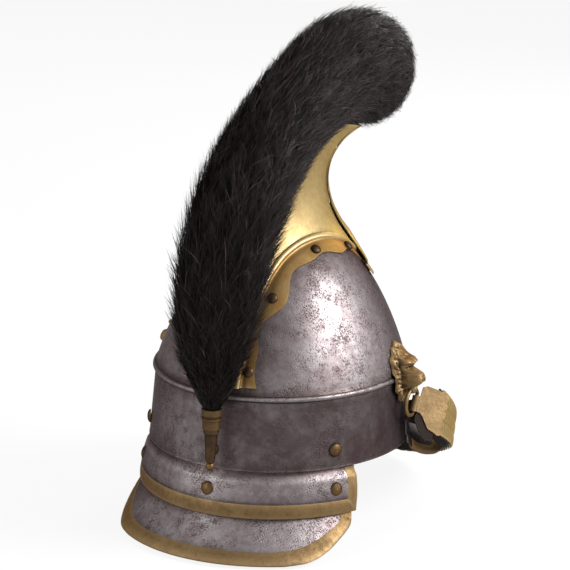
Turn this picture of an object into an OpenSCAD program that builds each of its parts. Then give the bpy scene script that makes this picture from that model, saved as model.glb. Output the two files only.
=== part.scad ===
// Horse-guard helmet: steel skull, tall brass comb with a horsehair crest,
// a jointed neck guard of two lames, a peak, two lion bosses and chin scales.
// Millimetres. +Y is the front of the helmet, +Z up, and the origin is the
// middle of the oval opening, level with the lower rim of the skull.

/* [Skull] */
// Half width of the skull at its lower rim
skull_half_w = 97.3; // [93:0.1:102]
// Length of the rim behind the middle of the helmet
skull_back_l = 115.9; // [111:0.1:122]
// Length of the rim in front of the middle
skull_front_l = 102; // [98:0.1:108]
// Height of the top of the dome above the rim
dome_top = 165; // [158:1:172]
// Height of the bead between the band and the dome
bead_h = 56; // [52:0.5:60]
// How far the band leans in from the rim to the bead
band_lean = 3.5; // [2.5:0.1:4.5]
// Radius of the half-round bead
bead_r = 2.2; // [1.6:0.1:3]
// Thickness of the steel skull
skull_t = 1.2; // [0.9:0.1:1.6]

/* [Neck guard] */
// Thickness of both steel lames
lame_t = 1.0; // [0.8:0.1:1.3]
// Play between one lame and the next
lame_play = 0.9; // [0.7:0.1:1.3]
// Height of the hinge rivets of the upper lame above the rim
upper_pivot_h = 14; // [12:0.5:16]
// Depth of the hinge rivets of the lower lame below the rim
lower_pivot_d = 15; // [13:0.5:16]
// How far the upper lame reaches below the rim
upper_drop = 33; // [31:0.5:36]
// How far the lower lame reaches below the rim
lower_drop = 63; // [58:0.5:68]
// How far the lower lame flares out beyond the rim
lower_flare = 23; // [18:0.5:28]
// Angle forward of straight across at which the hinge rivets sit, from the back
pivot_a = 31; // [29:0.5:35]
// How far the lames reach forward of their side rivets
lame_end = 11.45; // [9:0.05:14]
// Width of the brass edge on the upper lame
upper_trim_w = 10.5; // [8:0.5:12]
// Width of the brass edge on the lower lame
lower_trim_w = 8; // [6:0.5:10]
// Thickness of the brass edges
trim_t = 0.8; // [0.6:0.1:1]
// Length of the rounded front corner of the lower lame
corner_len = 62; // [50:1:70]
// Height of the rounded front corner of the lower lame
corner_h = 30; // [24:1:32]

/* [Rivets] */
// Radius of the domed rivet heads on the neck guard
rivet_r = 5.3; // [4.5:0.1:6]
// Height of the domed rivet heads on the neck guard
rivet_h = 2.6; // [2:0.1:3.2]
// Radius of the rivet shanks
shank_r = 1.6; // [1.3:0.1:2]
// Radius of the domed rivet heads on the comb
comb_rivet_r = 4; // [3.2:0.1:4.6]

/* [Comb] */
// Thickness of the brass sheet of the comb
comb_t = 0.9; // [0.7:0.1:1.1]
// Half width of the comb at its top edge
comb_top_w = 10; // [8:0.5:11]
// Height of the round moulding at the foot of the comb
moulding_h = 3; // [2.2:0.1:3.6]
// Distance of the comb tip in front of the middle
tip_y = 98; // [94:1:102]
// Height of the comb tip above the rim
tip_h = 225; // [222:1:229]
// How far the front edge of the comb hollows back
front_hollow = 58; // [48:1:64]
// Depth of the scallops along the foot of the comb
scallop = 5; // [2:0.5:7]

/* [Crest] */
// Half width of the horsehair crest over the top
crest_w = 35; // [30:0.5:39]
// Depth of the lengthwise locks in the crest
lock_d = 2; // [0:0.25:3]
// Sideways lean of the hanging tail
tail_lean = 7; // [0:0.5:9]
// How far the ferrule hangs behind the rim
ferrule_out = 14.1; // [13:0.1:18]
// Radius of the ferrule's collar
ferrule_r = 7.6; // [6.6:0.1:8.4]
// Height of the top of the ferrule above the rim
ferrule_top = 50; // [48:0.5:53]
// Length of the ferrule's collar
collar_len = 15; // [12:0.5:18]
// Length of the ferrule's cone
cone_len = 26; // [22:0.5:28]

/* [Peak] */
// How much narrower the peak is than the rim, on each side
peak_in = 6.8; // [5:0.1:8]
// How far the peak reaches in front of the rim
peak_reach = 57; // [54:0.5:60]
// How far the front edge of the peak lies below the rim
peak_fall = 37; // [30:1:42]
// Thickness of the peak
peak_t = 1.2; // [1:0.1:1.5]
// Width of the brass edge on the peak
peak_trim_w = 7; // [5:0.5:9]

/* [Bosses and rings] */
// Height of the middle of the lion boss above the rim
boss_z = 58; // [57:0.5:60]
// Half height of the lion boss
boss_half_h = 22; // [21:0.5:23]
// Half width of the lion boss
boss_half_w = 17; // [15:0.5:18]
// Distance of the bosses and rings in front of the middle
boss_y = 12; // [8:0.5:14]
// How far the lion's nose stands out
boss_out = 20; // [18:0.5:22]
// Radius of the middle of the ring's wire
ring_r = 10.5; // [10:0.1:11.5]
// Radius of the ring's wire
wire_r = 1.5; // [1.2:0.1:1.7]
// Height of the middle of the ring above the rim
ring_z = 36; // [35:0.5:37]
// How far the ring's plane stands out from the rim
ring_out = 6.7; // [5.7:0.1:8.7]

/* [Chin scales] */
// How far the arch of the scales stands out from the rim on each side
arch_out = 21.7; // [19.7:0.1:23.7]
// How far the arch passes in front of the peak
arch_gap = 24; // [21:0.5:27]
// Downward slope of the arch as it lies over the peak, in degrees
arch_tilt = 27; // [25:0.5:28]
// Width of the strap near the rings
strap_w = 32.5; // [30:0.5:35]
// How far the strap's lower edge stands out, for each millimetre of its width
strap_flare = 0.10; // [0.06:0.01:0.12]
// Width of the strap at the buckle
strap_end_w = 22; // [18:0.5:26]
// Thickness of the leather under the scales
leather_t = 1.6; // [1.2:0.1:2]
// Thickness of each scale
scale_t = 0.7; // [0.5:0.1:0.8]
// Distance from one scale to the next
scale_pitch = 8; // [7:0.25:10]

/* [Lining] */
// Thickness of the sweatband leather
band_t = 1.6; // [1.2:0.1:2]
// Distance from the skull rim to the inner face of the sweatband
sweat_in = 8; // [7.5:0.1:9]
// Height of the sweatband's lower edge above the rim
band_low = 2; // [1:0.5:4]
// Height of the sweatband's upper edge above the rim
band_high = 38; // [36:0.5:40]
// Thickness of the leather tongues
tongue_t = 1.4; // [1:0.1:1.8]

/* [Hidden] */

steel = [0.62, 0.62, 0.64];
brass = [0.78, 0.62, 0.30];
hair = [0.09, 0.08, 0.08];
leather = [0.35, 0.22, 0.14];

// Clearances
seat = 0.25;        // sheet lying on sheet of the same body
slide = 0.3;        // a pin in its hole
rattle = 0.4;       // the ring in the eye of its staple

// Sizes that follow from the ones above
ring_x = skull_half_w + ring_out;
ferrule_y = skull_back_l + ferrule_out;
peak_half_w = skull_half_w - peak_in;
peak_front = skull_front_l + peak_reach;
arch_half_w = skull_half_w + arch_out;
arch_len = (peak_front - boss_y)/cos(arch_tilt) + arch_gap;

// The oval is a circle of the half width, stretched along Y, more behind than in front
back_stretch = skull_back_l/skull_half_w;
front_stretch = skull_front_l/skull_half_w;
function pull(y) = y > 0 ? front_stretch : back_stretch;
// How far a point in plan lies outside the rim oval, negative inside
function level(x, y) = norm([x, y/pull(y)]) - skull_half_w;
// A point on the oval grown by u, where a is the direction that it faces
function oval_pt(a, u) = let (k = pull(sin(a)), f = atan2(k*sin(a), cos(a)), r = skull_half_w + u)
    [r*cos(f), k*r*sin(f)];
// True thickness at direction a of a wall that is one unit thick at the sides
function swell(a) = norm([cos(a), pull(sin(a))*sin(a)]);

// The skull's outline: lean band, bead, then the dome
dome_low = bead_h + 1;
function dome_u(z) = z <= dome_low ? -band_lean*max(z, -20)/dome_low
    : let (t = min(1, (z - dome_low)/(dome_top - dome_low)))
    -band_lean - (skull_half_w - band_lean)*(1 - pow(1 - pow(t, 1.15), 1/2.3));
dome_steps = 16;
function dome_z(i) = dome_low + (dome_top - dome_low)*sin(90*i/dome_steps);
function dome_nrm(i) = let (a = max(0, i - 0.3), b = min(dome_steps, i + 0.3),
    d = [dome_u(dome_z(b)) - dome_u(dome_z(a)), dome_z(b) - dome_z(a)])
    [d[1], -d[0]]/norm(d);
function bead_pts() = [for (k = [0:6]) let (a = -90 + 30*k)
    [-band_lean + 0.2 + bead_r*cos(a), bead_h - 1 + bead_r*sin(a)]];
function skull_profile() = concat([[0, 0]], bead_pts(),
    [for (i = [1:dome_steps]) i == dome_steps ? [-skull_half_w, dome_top]
        : [dome_u(dome_z(i)), dome_z(i)]],
    [for (i = [dome_steps:-1:1]) i == dome_steps ? [-skull_half_w, dome_top - skull_t]
        : [dome_u(dome_z(i)), dome_z(i)] - skull_t*dome_nrm(i)],
    [[-band_lean - skull_t, dome_low], [-skull_t, 0]]);

// Sweeps a flat profile (offset from the rim, height) round the oval
module round_sweep() scale([1, back_stretch, 1]) rotate_extrude($fn = 200)
    translate([skull_half_w, 0]) children();

// The same sweep as four quarters, for a shell that closes all the way round
module quarter_sweep() for (m = [0, 1]) for (n = [0, 1]) mirror([m, 0, 0]) mirror([0, n, 0])
    scale([1, n > 0 ? back_stretch : front_stretch, 1]) rotate_extrude(angle = 90, $fn = 120)
        children();
module closed_sweep() quarter_sweep() translate([skull_half_w, 0]) children();

// Moves a shape that points along +X to face direction a at the rim, out by u
module at_rim(a, u, z) {
    p = oval_pt(a, u);
    translate([p[0], p[1], z]) rotate([0, 0, a]) children();
}
// A domed rivet along +X: head outside, shank inwards and a clenched end inside
module rivet(r, h, len, tail_r) rotate([0, 90, 0]) rotate_extrude($fn = 48) polygon(concat(
    [[0, -len - 0.6], [tail_r, -len - 0.6], [tail_r, -len], [shank_r, -len], [shank_r, 0]],
    [for (k = [0:6]) [r*cos(15*k), h*sin(15*k)]]));
module hole(r, len) translate([-len/2, 0, 0]) rotate([0, 90, 0]) cylinder(len, r, r, $fn = 36);

// Closed solids from grids of points: P outside, Q inside, both n by m
function flat(g) = [for (r = g) for (p = r) p];
function quad(a, b, c, d, f) = f ? [[a, b, c], [a, c, d]] : [[a, c, b], [a, d, c]];
module sheet(P, Q, f = true) {
    n = len(P); m = len(P[0]); o = n*m;
    polyhedron(points = concat(flat(P), flat(Q)), faces = flat(concat(
        [for (i = [0:n - 2]) for (j = [0:m - 2])
            quad(i*m + j, i*m + j + 1, (i + 1)*m + j + 1, (i + 1)*m + j, f)],
        [for (i = [0:n - 2]) for (j = [0:m - 2])
            quad(o + i*m + j, o + i*m + j + 1, o + (i + 1)*m + j + 1, o + (i + 1)*m + j, !f)],
        [for (i = [0:n - 2]) quad(i*m, (i + 1)*m, o + (i + 1)*m, o + i*m, f)],
        [for (i = [0:n - 2]) let (k = m - 1)
            quad(i*m + k, (i + 1)*m + k, o + (i + 1)*m + k, o + i*m + k, !f)],
        [for (j = [0:m - 2]) quad(j, j + 1, o + j + 1, o + j, !f)],
        [for (j = [0:m - 2]) let (k = (n - 1)*m)
            quad(k + j, k + j + 1, o + k + j + 1, o + k + j, f)])));
}
function unit(v) = v/max(norm(v), 1e-9);
function grid_nrm(P, i, j) = let (n = len(P), m = len(P[0]))
    unit(cross(P[min(i + 1, n - 1)][j] - P[max(i - 1, 0)][j],
        P[i][min(j + 1, m - 1)] - P[i][max(j - 1, 0)]));
function grid_off(P, t) = [for (i = [0:len(P) - 1]) [for (j = [0:len(P[0]) - 1])
    P[i][j] + t*grid_nrm(P, i, j)]];
// A closed tube through rings of equal length
module tube(R, f = true) {
    n = len(R); m = len(R[0]);
    mid = function(r) [for (c = [0:2]) [for (p = r) p[c]]*[for (p = r) 1]/m];
    polyhedron(points = concat(flat(R), [mid(R[0]), mid(R[n - 1])]), faces = concat(
        [for (j = [0:m - 1]) let (k = (j + 1) % m) f ? [n*m, j, k] : [n*m, k, j]],
        flat([for (i = [0:n - 2]) for (j = [0:m - 1]) let (k = (j + 1) % m)
            quad(i*m + j, (i + 1)*m + j, (i + 1)*m + k, i*m + k, f)]),
        [for (j = [0:m - 1]) let (k = (j + 1) % m, o = (n - 1)*m)
            f ? [n*m + 1, o + k, o + j] : [n*m + 1, o + j, o + k]]));
}
// Smooth value and smooth point through a list, at s from 0 to 1
function spline(L, s) = let (n = len(L) - 1, x = min(s, 0.99999)*n, i = floor(x), t = x - i,
    a = L[max(i - 1, 0)], b = L[i], c = L[i + 1], d = L[min(i + 2, n)])
    0.5*(2*b + (c - a)*t + (2*a - 5*b + 4*c - d)*t*t + (3*b - 3*c + d - a)*t*t*t);

// The steel skull
module skull() color(steel) difference() {
    quarter_sweep() polygon([for (p = skull_profile()) [max(0, skull_half_w + p[0]), p[1]]]);
    neck_sites(upper_pivot_h, 0) hole(shank_r + slide/2, 12);
    for (s = [1, -1]) translate([s*ring_x, boss_y, ring_z + ring_r]) hole(post_r + slide, 60);
    peak_sites() hole(shank_r + slide/2, 12);
}

// The neck guard
// Right, left and back rivet places of a lame joint
back_a = -90;
function pivot_dir(s) = s > 0 ? -pivot_a : -180 + pivot_a;
// Distance of the lames' front ends behind the middle of the helmet
lame_front = -oval_pt(pivot_dir(1), 0)[1] - lame_end;
neck_dirs = [pivot_dir(1), pivot_dir(-1), back_a];
module neck_sites(z, u) {
    for (s = [1, -1]) at_rim(pivot_dir(s), u, z) children();
    at_rim(back_a, u, z) children();
}
upper_top = 21;
upper_in = skull_t + lame_play;
function band_u(z) = -band_lean*z/dome_low;
upper_out_u = 5.2;
lift = 2.8;         // how far the back of a lame can rise
// Outer face of the upper lame from top to bottom
function upper_line() = [[band_u(upper_top) - upper_in, upper_top], [-upper_in, -lift],
    [0.9, -8], [2.8, -lower_pivot_d], [4.2, -lower_pivot_d - 8], [upper_out_u, -upper_drop]];
lower_in = lame_t + lame_play;
front_slant = 0.18;  // lean of the upper lame's front ends
flare_z = -upper_drop - lift;
function lower_u(z) = let (t = (flare_z - z)/(lower_drop + flare_z))
    upper_out_u - lower_in + (lower_flare - upper_out_u + lower_in)*pow(max(t, 0), 1.2);
function lower_line() = concat([[1.3 - lower_in, -9.5], [2.8 - lower_in, -lower_pivot_d],
    [4.2 - lower_in, -lower_pivot_d - 8]],
    [for (i = [0:6]) let (z = flare_z - (lower_drop + flare_z)*i/6) [lower_u(z), z]]);
// The same line moved out by d, square to its run
function line_off(L, d) = [for (i = [0:len(L) - 1]) let (t = unit(L[min(i + 1, len(L) - 1)]
    - L[max(i - 1, 0)])) L[i] + d*[-t[1], t[0]]];
function rev(L) = [for (i = [len(L) - 1:-1:0]) L[i]];
function band_poly(L, d0, d1) = concat(line_off(L, d1), rev(line_off(L, d0)));

// Side view of a lame, drawn in by w: its front end leans by a share of its height,
// and its lower corner is cut back in a curve of the given length and height
corner_shape = [[0, 1], [0.02, 0.84], [0.08, 0.69], [0.19, 0.56], [0.34, 0.41], [0.53, 0.23],
    [0.76, 0.07], [1, 0]];
module lame_side(front, low, len, h, w, slant = 0) {
    translate([200, 0, 0]) rotate([90, 0, -90]) linear_extrude(400) polygon(concat(
        [[front + w - slant*(60 - low), 60], [200, 60], [200, low + w]],
        len > 0 ? [for (k = [14:-1:0]) let (p = spline(corner_shape, k/14))
            [front + w + (len - w)*min(1, max(0, p[0])), low + w + (h - w)*min(1, max(0, p[1]))]]
        : [[front + w, low + w]]));
}
module upper_sheet(d0, d1) round_sweep() polygon(band_poly(upper_line(), d0, d1));
module lower_sheet(d0, d1) round_sweep() polygon(band_poly(lower_line(), d0, d1));

module upper_lame() color(steel) difference() {
    intersection() {
        upper_sheet(-lame_t, 0);
        lame_side(lame_front, -upper_drop, 0, 0, 0, front_slant);
    }
    for (s = [1, -1]) at_rim(pivot_dir(s), 0, upper_pivot_h) hole(shank_r + slide, 14);
    at_rim(back_a, 0, upper_pivot_h) guide_slot();
    lame_sites(0) hole(shank_r + slide/2, 8);
}
// Upright slot that lets a lame rise and fall on its middle rivet
slot_len = 3.4;
module guide_slot() {
    w = shank_r + slide;
    translate([-8, -w, -slot_len]) cube([16, 2*w, slot_len]);
    translate([0, 0, -slot_len]) hole(w, 16);
    hole(w, 16);
}
module upper_lame_trim() color(brass) intersection() {
    round_sweep() polygon(band_poly([for (p = upper_line()) if (p[1] < 0) p], seat, seat + trim_t));
    difference() {
        lame_side(lame_front - 0.6, -upper_drop - 1, 0, 0, 0, front_slant);
        lame_side(lame_front - 0.6 - upper_trim_w*0.2, -upper_drop - 1, 0, 0, upper_trim_w,
            front_slant);
    }
}
module lower_lame() color(steel) difference() {
    intersection() {
        lower_sheet(-lame_t, 0);
        lame_side(lame_front + 3, -lower_drop, corner_len, corner_h, 0);
    }
    lame_sides(0) hole(shank_r + slide, 14);
    at_rim(back_a, 3, -lower_pivot_d) guide_slot();
}
module lower_lame_trim() color(brass) difference() {
    intersection() {
        round_sweep() polygon(band_poly([for (p = lower_line()) if (p[1] < -upper_drop - 1) p],
            -lame_t - seat - trim_t, seat + trim_t));
        lame_side(lame_front + 2, -lower_drop - 1, corner_len, corner_h, 0);
    }
    lame_side(lame_front + 2, -lower_drop - 1, corner_len, corner_h, lower_trim_w);
    intersection() {
        round_sweep() polygon(band_poly(lower_line(), -lame_t - seat, seat));
        lame_side(lame_front + 2.7, -lower_drop - 0.3, corner_len, corner_h, 0);
    }
}
head_seat = 0.4;    // a flat rivet head on a curved plate
module neck_rivets() color(brass) for (a = neck_dirs)
    at_rim(a, band_u(upper_pivot_h) + head_seat/swell(a), upper_pivot_h)
        rivet(rivet_r, rivet_h, head_seat + swell(a)*(skull_t + lame_play + lame_t) + 0.7, shank_r + 1.6);
module lame_rivets() color(brass) for (a = neck_dirs)
    at_rim(a, 2.8 + head_seat/swell(a), -lower_pivot_d) rotate([0, -lame_slope, 0])
        rivet(rivet_r, rivet_h, head_seat + swell(a)*(2*lame_t + lame_play) + 0.7, shank_r + 1.6);
lame_slope = atan2(3.3, 15);
module lame_sides(d) for (s = [1, -1]) at_rim(pivot_dir(s), 2.8 + d, -lower_pivot_d)
    rotate([0, -lame_slope, 0]) children();
module lame_sites(d) for (a = neck_dirs) at_rim(a, 2.8 + d, -lower_pivot_d)
    rotate([0, -lame_slope, 0]) children();

// The peak
peak_back = 30;
peak_mid = skull_front_l - 17;
peak_root = 5;
peak_n = 36;
function peak_k(i) = -1 + 2*i/peak_n;
function peak_a(k) = 90 - 77*k;
function peak_plan(k) = let (s = k < 0 ? -1 : 1, q = abs(k))
    q > 0.6 ? [s*(peak_half_w + 3.4*(q - 0.6)/0.4), peak_mid - (peak_mid - peak_back)*(q - 0.6)/0.4]
    : [s*peak_half_w*sin(150*q), peak_mid + (peak_front - peak_mid)*cos(150*q)];
function peak_edge_z(y) = -3 - (peak_fall - 3)*(1 - exp(-(y - peak_back)/55))/0.911;
function peak_edge(k) = let (p = peak_plan(k)) [p[0], p[1], peak_edge_z(p[1])];
function peak_root_pt(k, z) = let (p = oval_pt(peak_a(k), band_u(z) + seat))
    [p[0], p[1], z];
function peak_row(k) = let (r = peak_root_pt(k, peak_root), e = peak_edge(k))
    concat([peak_root_pt(k, 16), peak_root_pt(k, 10), r + [0, 0, 1.2]],
        [for (v = [0.06, 0.35, 0.68, 1]) r + (e - r)*v + [0, 0, 2.4*sin(180*v)]]);
module peak() color(steel) {
    P = [for (i = [0:peak_n]) peak_row(peak_k(i))];
    difference() {
        sheet(P, grid_off(P, peak_t), false);
        peak_sites() hole(shank_r + slide/2, 16);
    }
}
module peak_sites() for (k = [-0.8, -0.3, 0.3, 0.8]) at_rim(peak_a(k), 0, 11) children();
module peak_trim() color(brass) {
    h0 = seat + 0.1; h1 = h0 + trim_t;
    P = [for (i = [0:peak_n]) peak_row(peak_k(i))];
    rings = [for (i = [1:peak_n - 1]) let (e = P[i][6], b = P[i][5], d = unit(e - b),
        f = min(0.97, peak_trim_w/norm(e - b)), n6 = grid_nrm(P, i, 6), n5 = grid_nrm(P, i, 5),
        c = e + (b - e)*f, m = n6 + (n5 - n6)*f)
        [c - m*h1, e + d*h1 - n6*h1, e + d*h1 + n6*(peak_t + h1), c + m*(peak_t + h1),
            c + m*(peak_t + h0), e + d*h0 + n6*(peak_t + h0), e + d*h0 - n6*h0, c - m*h0]];
    tube(rings, true);
}
module peak_rivets() color(brass)
    for (k = [-0.8, -0.3, 0.3, 0.8]) let (a = peak_a(k))
        at_rim(a, band_u(11) + seat + peak_t + head_seat/swell(a) + 0.1, 11) rivet(rivet_r - 0.6,
            rivet_h - 0.3, head_seat + swell(a)*(peak_t + skull_t + seat) + 0.5, shank_r + 1.4);

// The comb: pressed sides that stand on the dome, front plate and top rail
pivot_y = -5;
pivot_z = 70;
function ray_pt(a, x, r) = [x, pivot_y - cos(a)*r, pivot_z + sin(a)*r];
function outside(p) = p[2] >= dome_top ? p[2] - dome_top + 1 : level(p[0], p[1]) - dome_u(p[2]);
function find_r(a, x, lo, hi, n) = n == 0 ? (lo + hi)/2
    : outside(ray_pt(a, x, (lo + hi)/2)) > 0 ? find_r(a, x, lo, (lo + hi)/2, n - 1)
    : find_r(a, x, (lo + hi)/2, hi, n - 1);
// A point on the dome in direction a, x to the side, raised by h
function on_dome(a, x, h) = ray_pt(a, x, find_r(a, x, 10, 190, 14) + h);
comb_n = 32;
function back_share(y) = y < 0 ? y*skull_back_l/rim_behind : y;
rim_behind = 115.9;  // the rim's length that the lines below are drawn for
foot_dir = [-4, 8, 20, 33, 46, 60, 73, 86, 98, 109, 119];
foot_w = [17, 16, 15.5, 15.5, 16.8, 19.6, 24.5, 30, 35, 39, 42];
flange_w = [30.5, 26, 21.8, 31.5, 33, 32, 38.5, 43.5, 45.5, 47, 49];
// Places behind the middle of the helmet are shares of the skull's length there
rail_line = [for (p = [[-115, 64], [-111, 84], [-108, 106], [-101, 132], [-88, 159], [-67, 186],
    [-38, 206], [0, 221], [40, 228], [70, 230], [tip_y, tip_h]]) [back_share(p[0]), p[1]]];
function rail_pt(s) = spline(rail_line, s);
function wall_pull(s) = front_hollow*pow(s, 4);
function side_row(s) = let (a = spline(foot_dir, s), xm = spline(foot_w, s),
    xe = spline(flange_w, s) - scallop*0.3*sin(360*s*5), lift = 0.45 + comb_t,
    f = on_dome(a, xm - 2.4, lift + moulding_h*0.7), t = rail_pt(s),
    c = [(f[1] + t[0])/2 - wall_pull(s), (f[2] + t[1])/2 + 0.56*wall_pull(s)])
    concat([for (x = [xe, xe*0.68 + xm*0.32 + 1, xe*0.34 + xm*0.66 + 2]) on_dome(a, x, lift)],
        [on_dome(a, xm + 2.4, lift), on_dome(a, xm + 1.6, lift + moulding_h*0.8),
            on_dome(a, xm - 0.6, lift + moulding_h)],
        [for (v = [0, 0.12, 0.26, 0.42, 0.6, 0.8, 1]) let (q = 1 - v)
            [comb_top_w + (xm - 2.4 - comb_top_w)*pow(q, 2.6 + 1.5*s),
                q*q*f[1] + 2*q*v*c[0] + v*v*t[0], q*q*f[2] + 2*q*v*c[1] + v*v*t[1]]]);
function side_grid() = [for (i = [0:comb_n]) side_row(i/comb_n)];
module comb_side() color(brass) difference() {
    P = side_grid();
    sheet(P, grid_off(P, -comb_t), true);
    comb_sites() hole(shank_r + slide/2, 8);
}
module comb_right() comb_side();
module comb_left() mirror([1, 0, 0]) comb_side();

// Frame on the dome, facing out of it
module on_dome_frame(a, x, h) {
    p = on_dome(a, x, 0);
    n = unit([level(p[0] + 0.5, p[1]) - level(p[0] - 0.5, p[1]),
        level(p[0], p[1] + 0.5) - level(p[0], p[1] - 0.5), dome_u(p[2] - 0.5) - dome_u(p[2] + 0.5)]);
    b = unit(cross([0, 0, 1], n)); c = cross(n, b); q = p + h*n;
    multmatrix([[n[0], b[0], c[0], q[0]], [n[1], b[1], c[1], q[1]], [n[2], b[2], c[2], q[2]]])
        children();
}
// Rivet places along one flange: direction and distance from the middle
comb_rivet_at = [[2, 22], [38.3, 24.3], [77, 34.4], [105, 42]];
module comb_sites() for (r = comb_rivet_at) on_dome_frame(r[0], r[1], 0) children();
module comb_rivets() color(brass) for (m = [0, 1]) mirror([m, 0, 0])
    for (r = comb_rivet_at) on_dome_frame(r[0], r[1], comb_t + 0.93)
        rivet(comb_rivet_r, 2, comb_t + 0.3, shank_r - 0.1);

// Front plate between the sides, bulging forwards, with its flange on the dome
front_n = 16;
function front_lift() = 0.45 + comb_t;
function front_low(w) = 124 + 0.4*scallop*cos(1080*w);
function front_dome(a, z, h) = let (p = oval_pt(a, dome_u(z) + h)) [p[0], p[1], z];
function front_wall(a, v) = let (E = side_row(1), n = len(E) - 7, f = E[n], t = rail_pt(1),
    c = [(f[1] + t[0])/2 - wall_pull(1), (f[2] + t[1])/2 + 0.56*wall_pull(1)], q = 1 - v,
    x = comb_top_w + 0.4 + (f[0] + 0.4 - comb_top_w)*pow(q, 4.1), y = q*q*f[1] + 2*q*v*c[0] + v*v*t[0],
    z = q*q*f[2] + 2*q*v*c[1] + v*v*t[1])
    [x*cos(a), y + 1 + (26*pow(q, 3.4) + 4)*sin(a), z];
// One run from the flange up to the tip, w from 0 on the right to 1 on the left
function front_row(w) = let (a = 24 + 132*w, b = 4 + 172*w) concat(
    [for (t = [0, 0.5, 1]) let (z = front_low(w)*(1 - t) + 134*t)
        front_dome(a, z, front_lift() + 0.5)],
    [front_dome(a, 137, front_lift() + moulding_h)],
    [for (v = [0.06, 0.14, 0.26, 0.42, 0.6, 0.8, 1]) front_wall(b, v)]);
module comb_front() color(brass) {
    P = [for (i = [0:front_n]) front_row(i/front_n)];
    sheet(P, grid_off(P, comb_t), false);
}
module comb_rail() color(brass) {
    w = comb_top_w - comb_t - 0.6;
    rings = [for (i = [0:comb_n]) let (s = 0.985*i/comb_n, p = rail_pt(s),
        t = unit(rail_pt(min(1, s + 0.01)) - rail_pt(max(0, s - 0.01))), n = [-t[1], t[0]],
        a = p - n*0.4, b = p - n*(0.4 + comb_t))
        [[-w, a[0], a[1]], [w, a[0], a[1]], [w, b[0], b[1]], [-w, b[0], b[1]]]];
    tube(rings, true);
}

// The horsehair crest: one brush-shaped body with a channel for the comb
crest_line = concat([[-ferrule_y, ferrule_top + seat]],
    [for (p = [[-130, 70], [-129, 92], [-123, 122], [-111, 156], [-91, 189],
    [-63, 216], [-30, 237], [8, 254], [50, 267], [90, 272], [126, 266], [151, 256],
    [171, 246]]) [back_share(p[0]), p[1]]]);
crest_half = [7, 15, 22, 28, 32, crest_w - 1.5, crest_w - 1.5, crest_w - 1, crest_w, crest_w + 2,
    crest_w + 5, crest_w + 4, crest_w - 5, 13];
crest_deep = [7, 10.5, 16, 22, 28, 32, 33, 33, 34, 38, 43, 45, 38, 18];
crest_n = 40;
function crest_lean(s) = tail_lean*max(0, 1 - 1.8*s);
// One ring of the crest, with the channel that the top edge of the comb fills
function crest_ring(s) = let (p = spline(crest_line, s), rx = spline(crest_half, s),
    ry = spline(crest_deep, s), t = unit(spline(crest_line, min(1, s + 0.01)) -
    spline(crest_line, max(0, s - 0.01))), n = [-t[1], t[0]], cx = crest_lean(s),
    w = min(comb_top_w + 0.5, rx*0.6), lock = lock_d*min(1, s*5),
    gap = min([for (i = [0:120]) norm(p - rail_pt(i/120))]) - seat,
    c0 = gap < ry ? 0 : cx, b1 = asin((w + c0 - cx)/rx), b2 = asin((w - c0 + cx)/rx))
    concat(
        [for (j = [0:17]) let (a = -90 + b1 + (360 - b1 - b2)*j/17,
            k = 1 + lock/rx*sin(7*a + 500*s)*(j > 1 && j < 16 ? 0.5 : 0))
            [cx + rx*k*cos(a), p[0] + n[0]*ry*k*sin(a), p[1] + n[1]*ry*k*sin(a)]],
        [for (q = [-1, -0.4, 0.4, 1]) let (x = c0 + q*w*0.999 - cx,
            d = -min(gap, ry*sqrt(1 - x*x/rx/rx)*(abs(q) > 0.9 ? 0.97 : 1)))
            [cx + x, p[0] + n[0]*d, p[1] + n[1]*d]]);
// The gathered hair ends in a neck that the collar holds
neck_r = ferrule_r - 1.9 - slide;
function crest_neck(z) = [for (p = crest_ring(0)) [tail_lean + (p[0] - tail_lean)*neck_r/7,
    -ferrule_y + (p[1] + ferrule_y)*neck_r/7, z]];
module crest() color(hair) tube(concat([crest_neck(ferrule_top - 7), crest_neck(ferrule_top + seat)],
    [for (i = [0:crest_n]) crest_ring(i/crest_n)]), false);

// The ferrule that gathers the tail
module at_ferrule(z) translate([tail_lean, -ferrule_y, z]) children();
module ferrule_collar() color(brass) at_ferrule(ferrule_top - collar_len)
    rotate_extrude($fn = 48) polygon([[ferrule_r - 1.6, 0], [ferrule_r - 0.9, 0],
        [ferrule_r - 0.9, 6.5], [ferrule_r - 0.1, 7], [ferrule_r - 0.1, 8.2], [ferrule_r - 0.7, 8.6],
        [ferrule_r - 0.7, 10], [ferrule_r, 10.4], [ferrule_r, collar_len], [ferrule_r - 1.4, collar_len],
        [ferrule_r - 1.9, 8], [ferrule_r - 1.9, 2]]);
module ferrule_tip() color(brass) at_ferrule(ferrule_top - collar_len - cone_len)
    rotate_extrude($fn = 48) polygon([[0, 0], [3.1, 0], [3.5, 1.2], [ferrule_r - 2.6, cone_len - 4],
        [ferrule_r - 1.7, cone_len - 3.4], [ferrule_r - 1.7, cone_len - 0.2],
        [ferrule_r - 2.1, cone_len - 0.2], [ferrule_r - 2.1, cone_len + 3],
        [ferrule_r - 2.9, cone_len + 3], [ferrule_r - 2.9, cone_len - 4], [2.4, 3], [0, 3]]);
module ferrule_knob() color(brass) at_ferrule(ferrule_top - collar_len - cone_len - 3.2) {
    sphere(3.2, $fn = 36);
    cylinder(3.2, 1.4, 1.4, $fn = 24);
}

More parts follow.
